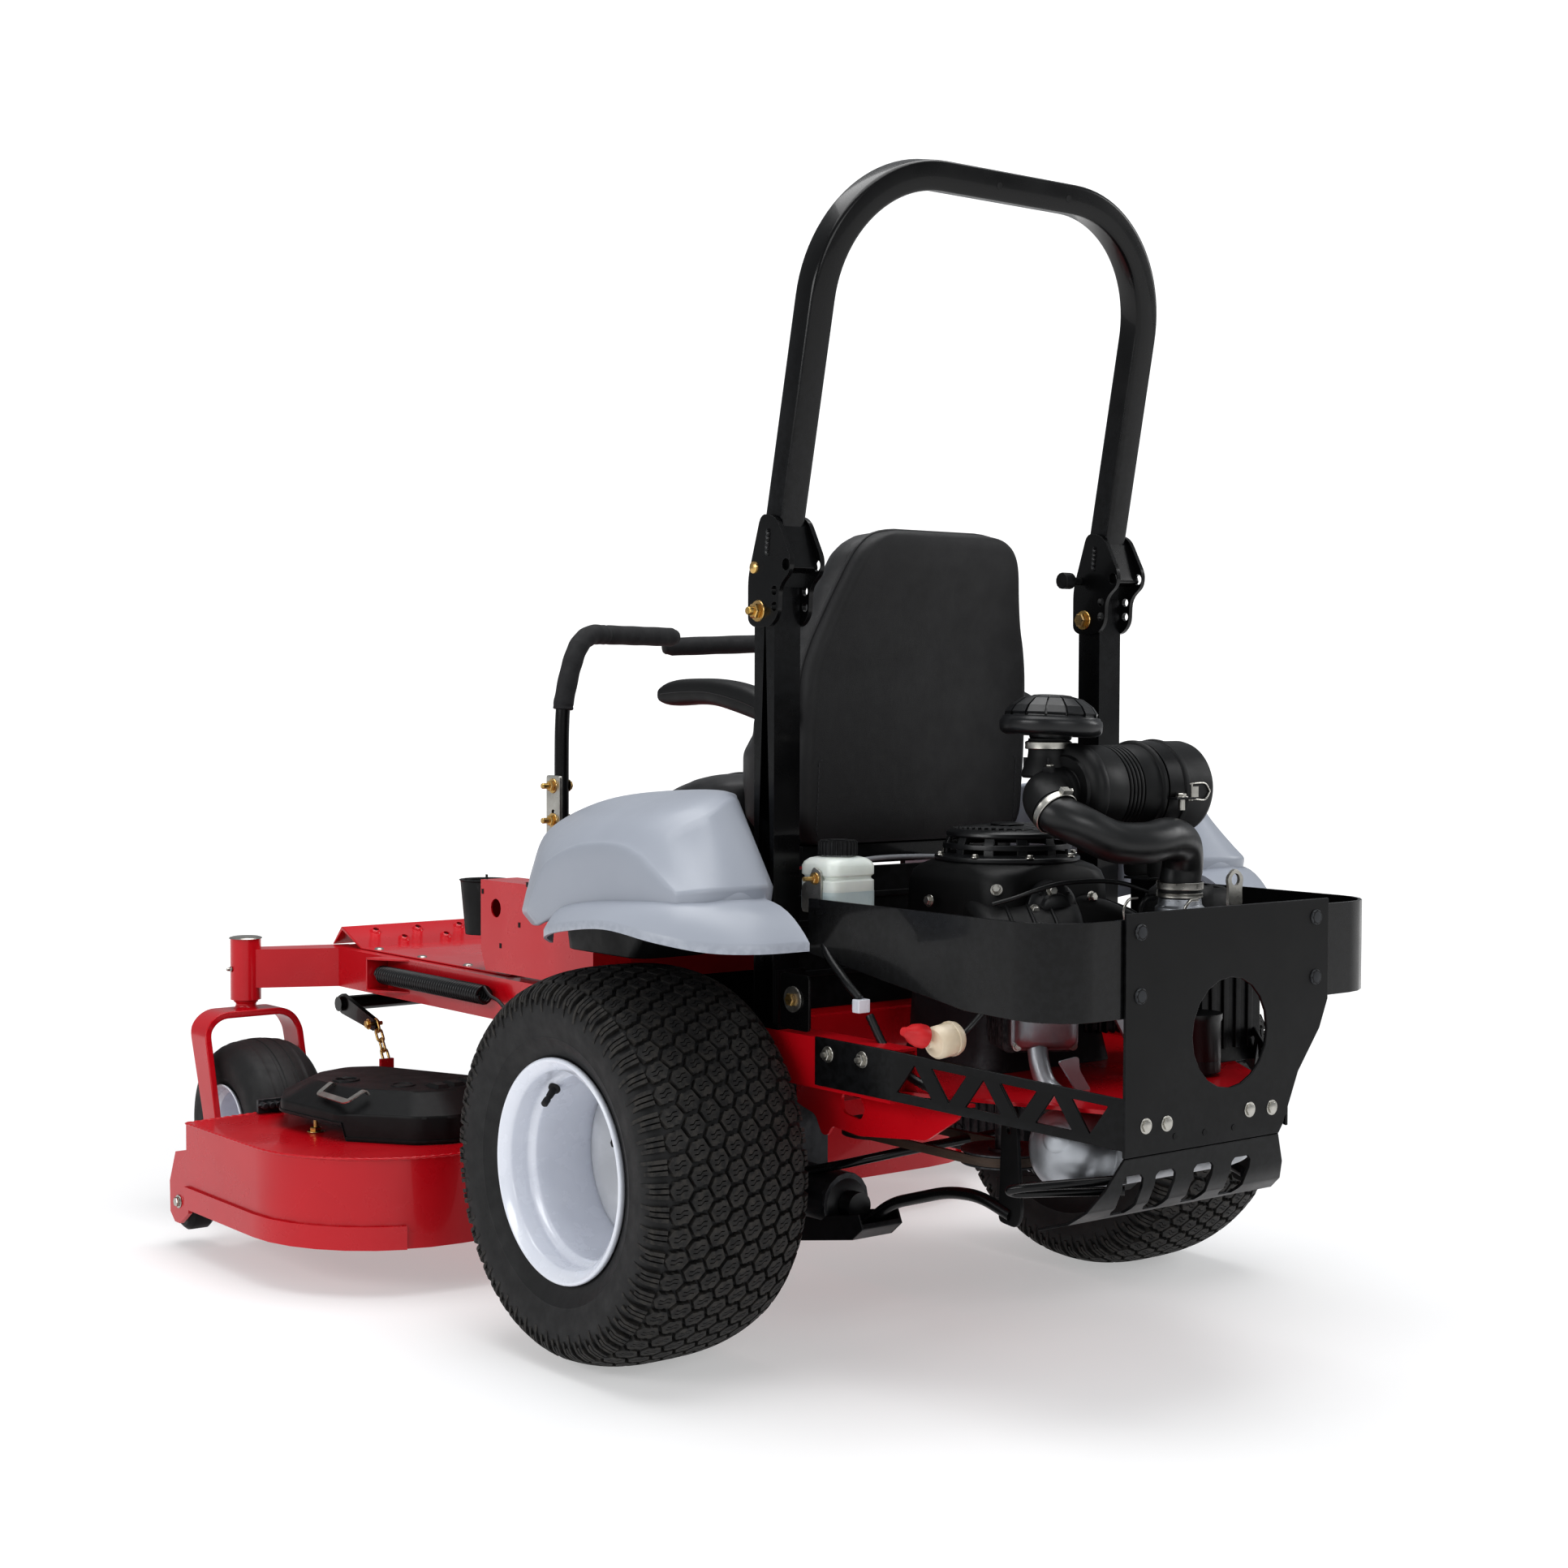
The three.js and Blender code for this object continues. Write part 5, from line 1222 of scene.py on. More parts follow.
def add_pre_cleaner():
    """The inlet neck with the bowl and the vented top of the pre-cleaner."""
    neck = Piece("air_cleaner_inlet", "plastic")
    x, y = CAP
    neck.lathe([(0, 896), (38, 896), (40, 900), (36, 916), (31, 926), (30, 934), (30, 938), (33, 939),
                (33, 950),
                (30, 951), (30, 954), (0, 954)], (x, y, 0), (0, 0, 1), 56)
    for k in range(4):
        a = math.radians(45 + 90 * k)
        neck.block((x - 1.5, y, 900), (x + 1.5, y + 37, 926), Matrix.Rotation(a, 3, "Z"), (x, y, 0))
    neck.done(angle=40)
    tilt = Matrix.Rotation(math.radians(-3), 3, "Y") @ Vector((0, 0, 1))
    bowl = Piece("pre_cleaner_bowl", "gloss_plastic")
    bowl.lathe([(0, 74), (29, 74), (31, 76), (33, 84), (40, 86), (62, 80), (66, 80), (72, 83), (75, 86),
                (76, 90),
                (76.5, 98), (75.5, 103), (73, 105), (72, 108), (66, 109), (0, 109)], (x, y, 878), tilt, 96)
    bowl.done(angle=42)
    crown = Piece("pre_cleaner_top", "gloss_plastic")
    count = 14
    for k in range(count):
        first, last = (2 * math.pi * (k + part) / count for part in (0.06, 0.94))
        angles = (first, (first + last) / 2, last)
        crown.grid([arc((x, y, 878), tilt, r, h, angles) + arc((x, y, 878), tilt, r, h - 6, angles[::-1])
                    for r, h in ((66, 108), (69, 114), (62, 124), (46, 135), (30, 139))])
    crown.lathe([(0, 142), (18, 142), (28, 141), (33, 137), (46, 132), (62, 120), (67, 112), (66, 106),
                 (0, 106)],
                (x, y, 877), tilt, 64)
    crown.done(angle=14)


def add_intake():
    """The elbow and hose from the canister to the carburettor, with their clamps and the cover's clip."""
    elbow = Piece("air_cleaner_elbow", "plastic")
    run = curve_through([(100, 500, 876), (116, 501, 876), (134, 504, 874), (148, 514, 868), (156, 528, 860),
                         (160, 542, 852)], 6)
    elbow.tube(run, [36] * 6 + [35] * (len(run) - 6), 48)
    elbow.lathe([(0, 0), (8, 0), (9, 3), (9, 22), (0, 22)], (136, 508, 893), (0.2, 0.1, 1), 24)
    elbow.done(angle=50)
    hose = Piece("intake_hose_tube", "hose")
    run = curve_through(HOSE, 12)
    radii = [32.5 if k < 8 or k > len(run) - 9 else 30.5 for k in range(len(run))]
    hose.tube(run, radii, 56)
    hose.done(angle=60, replaces=["intake_hose"])
    steel = Piece("hose_clamps", "zinc")
    add_clamp(steel, (160.5, 545, 850), (0.06, 0.83, -0.55), 33.4)
    add_clamp(steel, (*CARBURETTOR, 735), (0, 0, 1), 33.4)
    add_clamp(steel, (*CARBURETTOR, 721), (0, 0, 1), 32.6, 7)
    add_clamp(steel, (*CAP, 944), (0, 0, 1), 33.2)
    steel.bolt((-67, 580, 867), (0, 0, 1), 7)
    steel.rod(5, 0, 16, (-67, 580, 848), (0, 0, 1), 20)
    steel.bolt((136, 508, 914), (0.2, 0.1, 1), 6, washer=False)
    for z in (862, 886):
        steel.tube(curve_through([(-90, 572, z), (-104, 573, z + 1), (-128, 571, z), (-138, 572, 874)], 5),
                   1.3, 8)
    steel.block((-112, 570.5, 866), (-94, 572.5, 882))
    steel.tube([(-96, 573.5, 861), (-96, 573.5, 888)], 1.6, 8)
    steel.done(angle=35)


def add_shroud():
    """The engine's top cover and the two ducts over its cylinders."""
    x, y = ENGINE
    shell = Piece("engine_shroud", "plastic")
    levels = [(636, 126, 118, 44), (700, 127, 119, 46), (730, 126, 118, 48), (744, 123, 116, 54),
              (752, 118, 113, 66),
              (757, 114, 111, 88), (760, 111, 110, 104)]
    shell.grid(box_rings([(z, x - a, x + a, y - b, y + b, r) for z, a, b, r in levels], 12))
    for angle in CYLINDER_ANGLES:
        turn = Matrix.Rotation(math.radians(angle), 3, "Z")
        rings = []
        for d, half, low, high in ((70, 90, 612, 716), (110, 88, 610, 710), (150, 84, 606, 698),
                                   (190, 78, 602, 680),
                                   (216, 70, 600, 664), (230, 58, 602, 650), (236, 44, 606, 640)):
            ring = [(px, d, pz) for px, pz in rounded_box(-half, half, low, high, 20, 5)]
            rings.append([Vector((x, y, 0)) + turn @ Vector(p) for p in ring])
        shell.grid(rings)
        for off in (-34, 0, 34):
            rib = [Vector((x, y, 0)) + turn @ Vector((off, d, z)) for d, z in
                   ((124, 705), (150, 698), (190, 681), (216, 665), (228, 652))]
            shell.tube(rib, 3.2, 8)
    shell.done(angle=38, replaces=["blower_housing"])


def add_grille():
    """The rotating screen's cage on top of the engine."""
    x, y = ENGINE
    grille = Piece("engine_grille", "gloss_plastic")
    grille.ring([(94, 759), (112, 759), (114, 761), (114, 766), (112, 768), (104, 769), (100, 772),
                 (94, 772)],
                (x, y, 0), (0, 0, 1), 96)
    grille.ring([(96, 780), (101.5, 779), (100.5, 787), (95, 788)], (x, y, 0), (0, 0, 1), 96)
    grille.ring([(78, 799), (94, 796), (96, 799), (95, 804), (88, 809), (78, 810)], (x, y, 0), (0, 0, 1), 96)
    for k in range(12):
        turn = Matrix.Rotation(math.radians(30 * k), 3, "Z")
        rings = []
        for r, z in ((101, 769), (99.5, 785), (95, 796), (90, 804)):
            rings.append([Vector((x, y, 0)) + turn @ Vector(p) for p in
                          ((-8, r - 5, z), (8, r - 5, z), (8, r, z), (-8, r, z))])
        grille.grid(rings)
    turn = Matrix.Rotation(math.radians(20), 3, "Z")
    radius = 84.0
    for k in range(-7, 8):
        off = k * 11.5
        reach = math.sqrt(radius ** 2 - off ** 2)
        crown = 4.0 * (1 - (off / radius) ** 2)
        grille.block((x - reach, y + off - 3.2, 802 + crown), (x + reach, y + off + 3.2, 810 + crown), turn,
                     (x, y, 0))
    grille.block((x - 5, y - radius, 800), (x + 5, y + radius, 806), turn, (x, y, 0))
    grille.lathe([(0, 812), (24, 812), (27, 816), (24, 817.6), (0, 817.6)], (x, y, 0), (0, 0, 1), 48)
    grille.done(bevel=0.8, angle=36)


def add_starter_cover():
    """The round cover on the rear of the shroud, with its ring of screws."""
    starter = Piece("starter_cover", "gloss_plastic")
    axis = (0.28, 0.96, 0.0)
    starter.lathe([(0, 24), (20, 24), (24, 22), (26, 14), (38, 10), (42, 6), (43, -26), (0, -26)],
                  STARTER_COVER, axis, 56)
    for spot in arc(STARTER_COVER, axis, 33, 10, full_turn(8)):
        starter.lathe([(0, 3), (2.6, 3), (3, 0), (0, 0)], spot, axis, 12)
    starter.done(angle=36)


def add_engine_bolts():
    """The shroud's bolts and the lifting eye."""
    x, y = ENGINE
    hardware = Piece("engine_bolts", "zinc")
    for a in (20, 65, 110, 155, 200, 245, 290, 335):
        r = math.radians(a)
        hardware.bolt((x + 109 * math.cos(r), y + 109 * math.sin(r), 768), (0, 0, 1), 5, tall=4)
    for at, axis in (((120, 380, 724), (0.7, 0.6, 0.5)), ((72, 412, 693), (0.3, 0.95, 0)),
                     ((44, 420, 722), (0.2, 1, 0.2)),
                     ((-60, 402, 706), (-0.1, 1, 0.2)), ((-128, 330, 712), (-0.9, 0.3, 0.3)),
                     ((139, 250, 700), (1, 0, 0.1))):
        hardware.bolt(at, axis, 7, tall=6)
    eye = filleted([(-16, -10), (16, -10), (14, 16), (18, 34), (0, 48), (-18, 34), (-14, 16)], 8)
    hardware.plate("xz", [(-119 + u, 716 + v) for u, v in eye], 636, 641, [circle(9, 24, -119, 746)])
    hardware.done(angle=30)


def add_carburettor():
    """The carburettor under the hose, with its linkage, and the air box beside it."""
    carb = Piece("carburettor", "alloy")
    carb.lathe([(0, 692), (36, 692), (37, 695), (37, 702), (35, 704), (33, 706), (31.5, 716), (0, 716)],
               (*CARBURETTOR, 0),
               (0, 0, 1), 56)
    carb.plate("xy", filleted([(-118, 536), (-34, 536), (-30, 560), (-34, 604), (-118, 604), (-122, 580)],
                              10), 640, 690)
    carb.lathe([(0, 0), (16, 0), (18, 4), (18, 26), (12, 30), (0, 30)], (-34, 566, 668), (1, 0.1, 0), 32)
    carb.rod(9, 0, 14, (-50, 566, 692), (0, 0, 1), 24)
    carb.plate("xz", filleted([(-60, 640), (34, 632), (30, 676), (-40, 690)], 10), 520, 538)
    carb.done(bevel=1.4)
    for k, (cx, cy) in enumerate(((-20, 548), (8, 540), (-44, 612))):
        link = Piece(f"carburettor_link_{k}", "zinc" if k else "satin_black")
        link.tube(curve_through([(cx, cy, 676), (cx + 8, cy + 3, 700), (cx + 2, cy + 8, 716),
                                 (cx - 14, cy + 10, 718)], 6),
                  5.0 if k == 0 else 2.2, 12)
        link.rod(7, 0, 9, (cx, cy, 672), (0, 0.2, 1), 20)
        link.done(angle=50)
    box = Piece("engine_air_box", "plastic")
    box.grid(box_rings([(z, -232 + g, -140 - g, 420 + g, 560 - g, 24)
                        for z, g in ((600, 0), (690, 0), (712, 4), (724, 14), (728, 30))], 6))
    box.done(angle=40)


def add_cylinders():
    """The finned barrels with their valve covers."""
    x, y = ENGINE
    covers = Piece("valve_covers", "alloy")
    fins = Piece("cylinder_fins", "cast")
    bolts = Piece("valve_cover_bolts", "zinc")
    for angle in CYLINDER_ANGLES:
        turn = Matrix.Rotation(math.radians(angle), 3, "Z")

        def spot(p):
            return Vector((x, y, 0)) + turn @ Vector(p)

        rings = []
        for d, a, low, high, r in ((254, 50, 498, 606, 10), (262, 50, 498, 606, 12), (264, 46, 502, 602, 12),
                                   (278, 45, 503, 601, 14), (286, 41, 507, 597, 16), (290, 34, 514, 590, 18)):
            rings.append([spot((px, d, pz)) for px, pz in rounded_box(-a, a, low, high, r, 5)])
        covers.grid(rings)
        for px, pz in ((-42, 504), (42, 504), (-42, 600), (42, 600)):
            bolts.bolt(spot((px, 264, pz)), turn @ Vector((0, 1, 0)), 5, tall=5)
        for k in range(11):
            d = 112 + k * 11.5
            wide = 62 - 0.6 * k
            ring = rounded_box(-wide, wide, 490, 604, 10, 3)
            fins.grid([[spot((px, d + off, pz)) for px, pz in ring] for off in (0, 3.4)])
    covers.done(angle=36)
    fins.done(angle=30)
    bolts.done(angle=30)


def add_exhaust():
    """The muffler, its pipes and bracket, the guard rod below it and the engine's drive belt."""
    can = Piece("muffler_shell", "silver")
    profile = [(0, 242), (14, 241.5), (34, 237), (50, 226), (58, 212), (61.4, 196), (62, 180), (62.3, 168),
               (63.6, 166),
               (63.6, 161), (62.3, 159), (62, 150), (62, -122), (60, -138), (50, -148), (38, -150), (0, -150)]
    can.lathe(profile, MUFFLER, (1, 0, 0), 96)
    can.lathe([(0, 5), (16, 4), (22, 0), (0, 0)], (236, 628, 400), (0.92, 0.24, 0.3), 40)
    can.done(angle=50, replaces=["muffler"])
    pipe = Piece("exhaust_pipes", "silver")
    pipe.tube(curve_through([(150, 500, 512), (156, 512, 480), (156, 530, 450), (146, 560, 432),
                             (132, 590, 424)], 8), 15, 28)
    pipe.tube(curve_through([(-150, 440, 500), (-150, 470, 470), (-120, 520, 450), (-96, 570, 436),
                             (-90, 600, 425)], 8), 15, 28)
    pipe.plate("xz", filleted([(128, 496), (168, 492), (150, 470), (96, 400), (70, 396), (84, 420),
                               (126, 476)], 6), 560, 564)
    pipe.tube(curve_through([(-90, 612, 376), (-120, 650, 360), (-140, 690, 350)], 8), 18, 28)
    pipe.done(angle=50)
    guard = Piece("exhaust_guard_rod", "black")
    guard.tube(rounded_path([(196, 724, 352), (262, 672, 345), (300, 622, 336), (306, 604, 330),
                             (292, 604, 324),
                             (246, 660, 330), (190, 716, 334)], 14, 8), 6.5, 18)
    guard.done(angle=50)
    belt = Piece("drive_belt", "belt")
    loop = [(-60, 276, 412), (-42, 236, 412), (0, 218, 412), (70, 200, 412), (170, 130, 412), (206, 110, 411),
            (226, 120, 410), (230, 146, 410), (206, 172, 410), (120, 250, 411), (60, 300, 412),
            (30, 328, 412),
            (-20, 332, 412), (-52, 310, 412)]
    belt.bar(curve_through(loop + [loop[0]], 8), [(-6, -4.5), (6, -4.5), (6.5, 4.5), (-6.5, 4.5)])
    belt.done(angle=40)


def add_rear_accessories():
    """What shows through the round hole in the rear panel."""
    can = Piece("oil_filter", "gloss_plastic")
    can.grid([[(px, py, z) for px, py in circle(38, 24, *OIL_FILTER)] for z in (452, 470)])
    can.lathe([(0, 468), (37, 468), (38, 472), (38, 528), (40, 532), (40, 540), (0, 540)], (*OIL_FILTER, 0),
              sides=48)
    can.done(angle=38)
    starter = Piece("starter_motor", "cast")
    starter.lathe([(0, 436), (30, 436), (35, 442), (36, 450), (36, 560), (33, 566), (33, 590), (28, 596),
                   (0, 596)],
                  (-206, 480, 0), sides=48)
    starter.lathe([(0, 450), (19, 450), (20, 454), (20, 530), (0, 532)], (-160, 500, 0), sides=32)
    starter.done(angle=38)
    bracket = Piece("engine_bracket", "silver")
    bracket.plate("xz", filleted([(-60, 440), (-20, 440), (60, 560), (60, 600), (30, 600), (-60, 470)], 8),
                  556, 561,
                  [circle(6, 20, -40, 456), circle(6, 20, 45, 584)])
    bracket.bolt((-40, 561, 456), (0, 1, 0), 9)
    bracket.bolt((45, 561, 584), (0, 1, 0), 9)
    bracket.done(bevel=0.8)


def add_drives(side, name):
    """The hydraulic drive: its cooling fins, pump, pulley, skid tray and brake tubes."""
    case = Piece("drive_hydraulics_" + name, "gloss_plastic")
    case.lathe([(0, 0), (38, 0), (44, 4), (46, 10), (46, 88), (43, 98), (30, 104), (0, 106)],
               (PUMP[0], 100, PUMP[1]), (0, 1, 0), 56)
    case.lathe([(0, 0), (20, 0), (22, 4), (22, 26), (0, 26)], (PUMP[0], 206, PUMP[1]), (0, 1, 0), 40)
    case.done(angle=40, side=side)
    tube = Piece("brake_tube_" + name, "black")
    tube.tube(rounded_path([(262, 232, 200), (256, 296, 252), (250, 420, 290), (252, 490, 296),
                            (249, 552, 278)], 30, 8), 9, 20)
    tube.tube(rounded_path([(300, 30, 250), (280, 210, 300), (210, 300, 330), (90, 360, 350)], 30, 6), 7, 16)
    tube.done(angle=50, side=side)
    tray = Piece("drive_skid_" + name, "satin_black")
    tray.plate("yz", [(20, 150), (262, 196), (286, 216), (283, 224), (256, 206), (20, 160)], 226, 300)
    for x in (222, 298):
        tray.plate("yz", [(20, 150), (262, 196), (286, 216), (276, 238), (250, 232), (20, 186)], x, x + 4)
    tray.done(bevel=1.2, side=side)
    pulley = Piece("drive_pulley_" + name, "cast")
    pulley.lathe([(0, 20), (30, 20), (54, 18), (58, 15), (46, 10), (58, 4), (54, 0), (20, -2), (20, -14),
                  (0, -14)],
                 (180, 146, 400), (0, 0, 1), 56)
    pulley.done(angle=36, side=side)
    fins = Piece("drive_fins_" + name, "cast")
    for k in range(9):
        fins.block((210, -80 + k * 20, 228), (352, -75 + k * 20, 390))
    for z in (262, 302, 342):
        for y in (-60, 60):
            fins.bolt((214, y, z), (-1, 0, 0), 7)
    fins.done(bevel=1.0, side=side)


add_canister()
add_pre_cleaner()
add_intake()
add_shroud()
add_grille()
add_starter_cover()
add_engine_bolts()
add_carburettor()
add_cylinders()
add_exhaust()
add_rear_accessories()
for side, name in SIDES:
    add_drives(side, name)


# ---- tank, filter, brackets ------------------------------------------------------------------
TANK = (295.0, 216.0)
PANEL_FACE = 738.0
POST_BOLT = (214.0, 562.0)
TRUSS_FACE = 378.0


def gear(radius, depth, teeth, cx=0.0, cy=0.0):
    """A round outline with shallow flutes."""
    points = []
    for k in range(teeth):
        for part, r in ((0.0, radius - depth), (0.22, radius), (0.5, radius), (0.72, radius - depth)):
            a = 2 * math.pi * (k + part) / teeth
            points.append((cx + r * math.cos(a), cy + r * math.sin(a)))
    return points


def add_tank():
    """The hydraulic expansion tank with its oil, ribbed cap and bracket."""
    tank = Piece("hydraulic_bottle", "clear")
    x, y = TANK
    levels = [(0, 694, 16), (0, 696, 16), (0, 738, 16), (3, 741, 16), (3, 744, 16), (0, 747, 16),
              (0, 760, 16),
              (2, 766, 18), (7, 771, 20), (14, 773, 20), (20, 774, 19)]
    tank.grid(box_rings([(z, 250 + g, 340 - g, 175 + g, 258 - g, r) for g, z, r in levels], 7))
    tank.lathe([(0, 773), (25, 773), (24, 778), (0, 778)], (x, y, 0), sides=40)
    tank.done(angle=38, replaces=["hydraulic_tank"])
    fluid = Piece("hydraulic_oil", "fluid")
    fluid.grid(box_rings([(z, 249.6, 340.4, 174.6, 258.4, 16) for z in (695, 722)], 7))
    fluid.done(angle=38)
    cap = Piece("hydraulic_cap", "plastic")
    for radius, low, high in ((30.5, 776, 796), (28, 796, 798)):
        cap.grid([[(px, py, z) for px, py in gear(radius, 1.6, 26, x, y)] for z in (low, high)])
    cap.lathe([(0, 797), (14, 797), (15, 799), (0, 800)], (x, y, 0), sides=32)
    cap.done(angle=30)
    strap = Piece("hydraulic_bracket", "zinc")
    strap.plate("yz", filleted([(190, 690), (236, 690), (236, 752), (218, 760), (206, 740), (190, 730)], 6),
                341, 344,
                [circle(5, 20, 222, 742)])
    strap.done(bevel=0.8)
    bolt = Piece("hydraulic_bracket_bolt", "gold")
    bolt.bolt((344, 222, 742), (1, 0, 0), 7)
    bolt.rod(3.4, 0, 22, (344, 222, 742), (1, 0, 0), 16)
    bolt.done(angle=30)


def add_fuel_filter():
    """The fuel filter and starter boot on the truss, and the wire loom with its connector."""
    body = Piece("fuel_filter", "filter")
    body.lathe([(0, 34), (5, 34), (5.4, 26), (8, 24), (20, 22), (23.5, 18), (24, 13), (25.5, 12), (25.5, 8),
                (24, 7),
                (23.6, -18), (20, -23), (8, -25), (5.4, -27), (5, -34), (0, -34)], (330, 500, 530),
               (-1, 0, 0.12), 56)
    body.done(angle=38)
    boot = Piece("starter_boot", "red_plastic")
    boot.lathe([(0, 26), (6, 26), (8, 18), (14, 8), (17, -4), (17, -14), (10, -17), (0, -17)],
               (378, 492, 541), (0.9, 0, 0.25), 40)
    boot.done(angle=50)
    plug = Piece("wire_connector", "white")
    plug.block((334, 324, 552), (356, 340, 572))
    plug.block((337, 320, 555), (353, 324, 569))
    plug.done(bevel=1.4)
    loom = Piece("wire_loom", "hose")
    for points in ([(322, 210, 690), (346, 250, 640), (352, 300, 600), (346, 330, 572)],
                   [(336, 340, 548), (330, 372, 500), (330, 420, 470), (322, 470, 452)]):
        run = curve_through(points, 14)
        loom.tube(run, [6.0 + 0.7 * (k % 2) for k in range(len(run))], 16)
    loom.done(angle=60)


def add_rear_hardware():
    """Bolts and spare holes of the rear panel and bumper; the holes are discs of painted shade."""
    zinc = Piece("rear_panel_bolts", "zinc")
    for x, z in ((172, 425), (130, 424), (-91, 423), (-43, 425)):
        zinc.lathe([(0, 738.9), (10.9, 738.9), (11.3, 738.3), (10.9, 737.5), (0, 737.5)], (x, 0, z),
                   (0, 1, 0), 24)
        zinc.bolt((x, PANEL_FACE + 0.6, z), (0, 1, 0), 8.8, washer=False, tall=3.0)
    zinc.done(angle=30)
    domes = Piece("bumper_carriage_bolts", "cast")
    for x in (-185, 185):
        for z in (606, 694):
            domes.lathe([(0, 3.7), (8, 3.65), (10, 3.2), (11.2, 2.0), (11.6, 0), (0, 0)], (x, PANEL_FACE, z),
                        (0, 1, 0), 32)
    domes.done(angle=40)
    # painted shade: flat near-black discs stand for the shade inside the panel's spare holes
    holes = Piece("panel_hole_shade", "hole_shade")
    for x, z in ((113, 404), (52, 403), (-9, 403)):
        holes.rod(4.6, 0.5, 0, (x, PANEL_FACE + 0.3, z), (0, 1, 0), 24)
    holes.done(angle=30)


def add_post_hardware(side, name):
    """Bracket and bolts at the foot of the post and truss, and the console's spare holes as patches of
    painted shade.
    """
    plate = Piece("post_bracket_" + name, "black")
    plate.plate("yz", filleted([(182, 516), (250, 516), (250, 600), (182, 600)], 6), 373.2, TRUSS_FACE)
    plate.done(bevel=1.0, side=side)
    gold = Piece("post_bolt_" + name, "gold")
    gold.bolt((TRUSS_FACE + 4, *POST_BOLT), (1, 0, 0), 10, washer=False)
    gold.done(angle=30, side=side)
    zinc = Piece("truss_bolts_" + name, "zinc")
    zinc.lathe([(0, 0), (19, 0), (20, 1), (19.6, 3.4), (0, 3.8)], (TRUSS_FACE, *POST_BOLT), (1, 0, 0), 40)
    for y, z in ((296, 489), (374, 491)):
        zinc.bolt((TRUSS_FACE, y, z), (1, 0, 0), 9)
        zinc.rod(4, 0, 12, (TRUSS_FACE, y, z), (1, 0, 0), 16)
    zinc.done(angle=30, side=side)
    # painted shade: thin near-black patches stand for the shade inside the console's spare holes
    spots = Piece("console_hole_shade_" + name, "hole_shade")
    for y, z in ((-693, 661), (-542, 683), (-569, 610), (-632, 568), (-679, 688)):
        spots.block((372.6, y - 3.4, z - 4.4), (373.6, y + 3.4, z + 4.4))
    spots.done(side=side)


# ---- deck ---------------------------------------------------------------------------------
DECK_TOP = 237.0
DECK_STUD = (640.0, -822.0)
COVER_HOLE = (516.0, -729.0)
DECK_SPRING = dict(x=396.0, z=480.0, radius=14.6, wire=3.4, start=-1026.0, end=-648.0, turns=44)
CHAIN = dict(x=339.0, top=(-1158, 372), low=(-1114, 300), links=4, bend=6.5, wire=2.6)
COVER_FOOT = [(668, -905), (650, -720), (560, -600), (505, -575), (330, -600), (330, -700), (420, -1000),
              (520, -1040), (610, -1010)]
COVER_TOP = [(616, -880), (600, -750), (534, -652), (490, -640), (350, -650), (350, -720), (446, -950),
             (500, -975), (574, -950)]


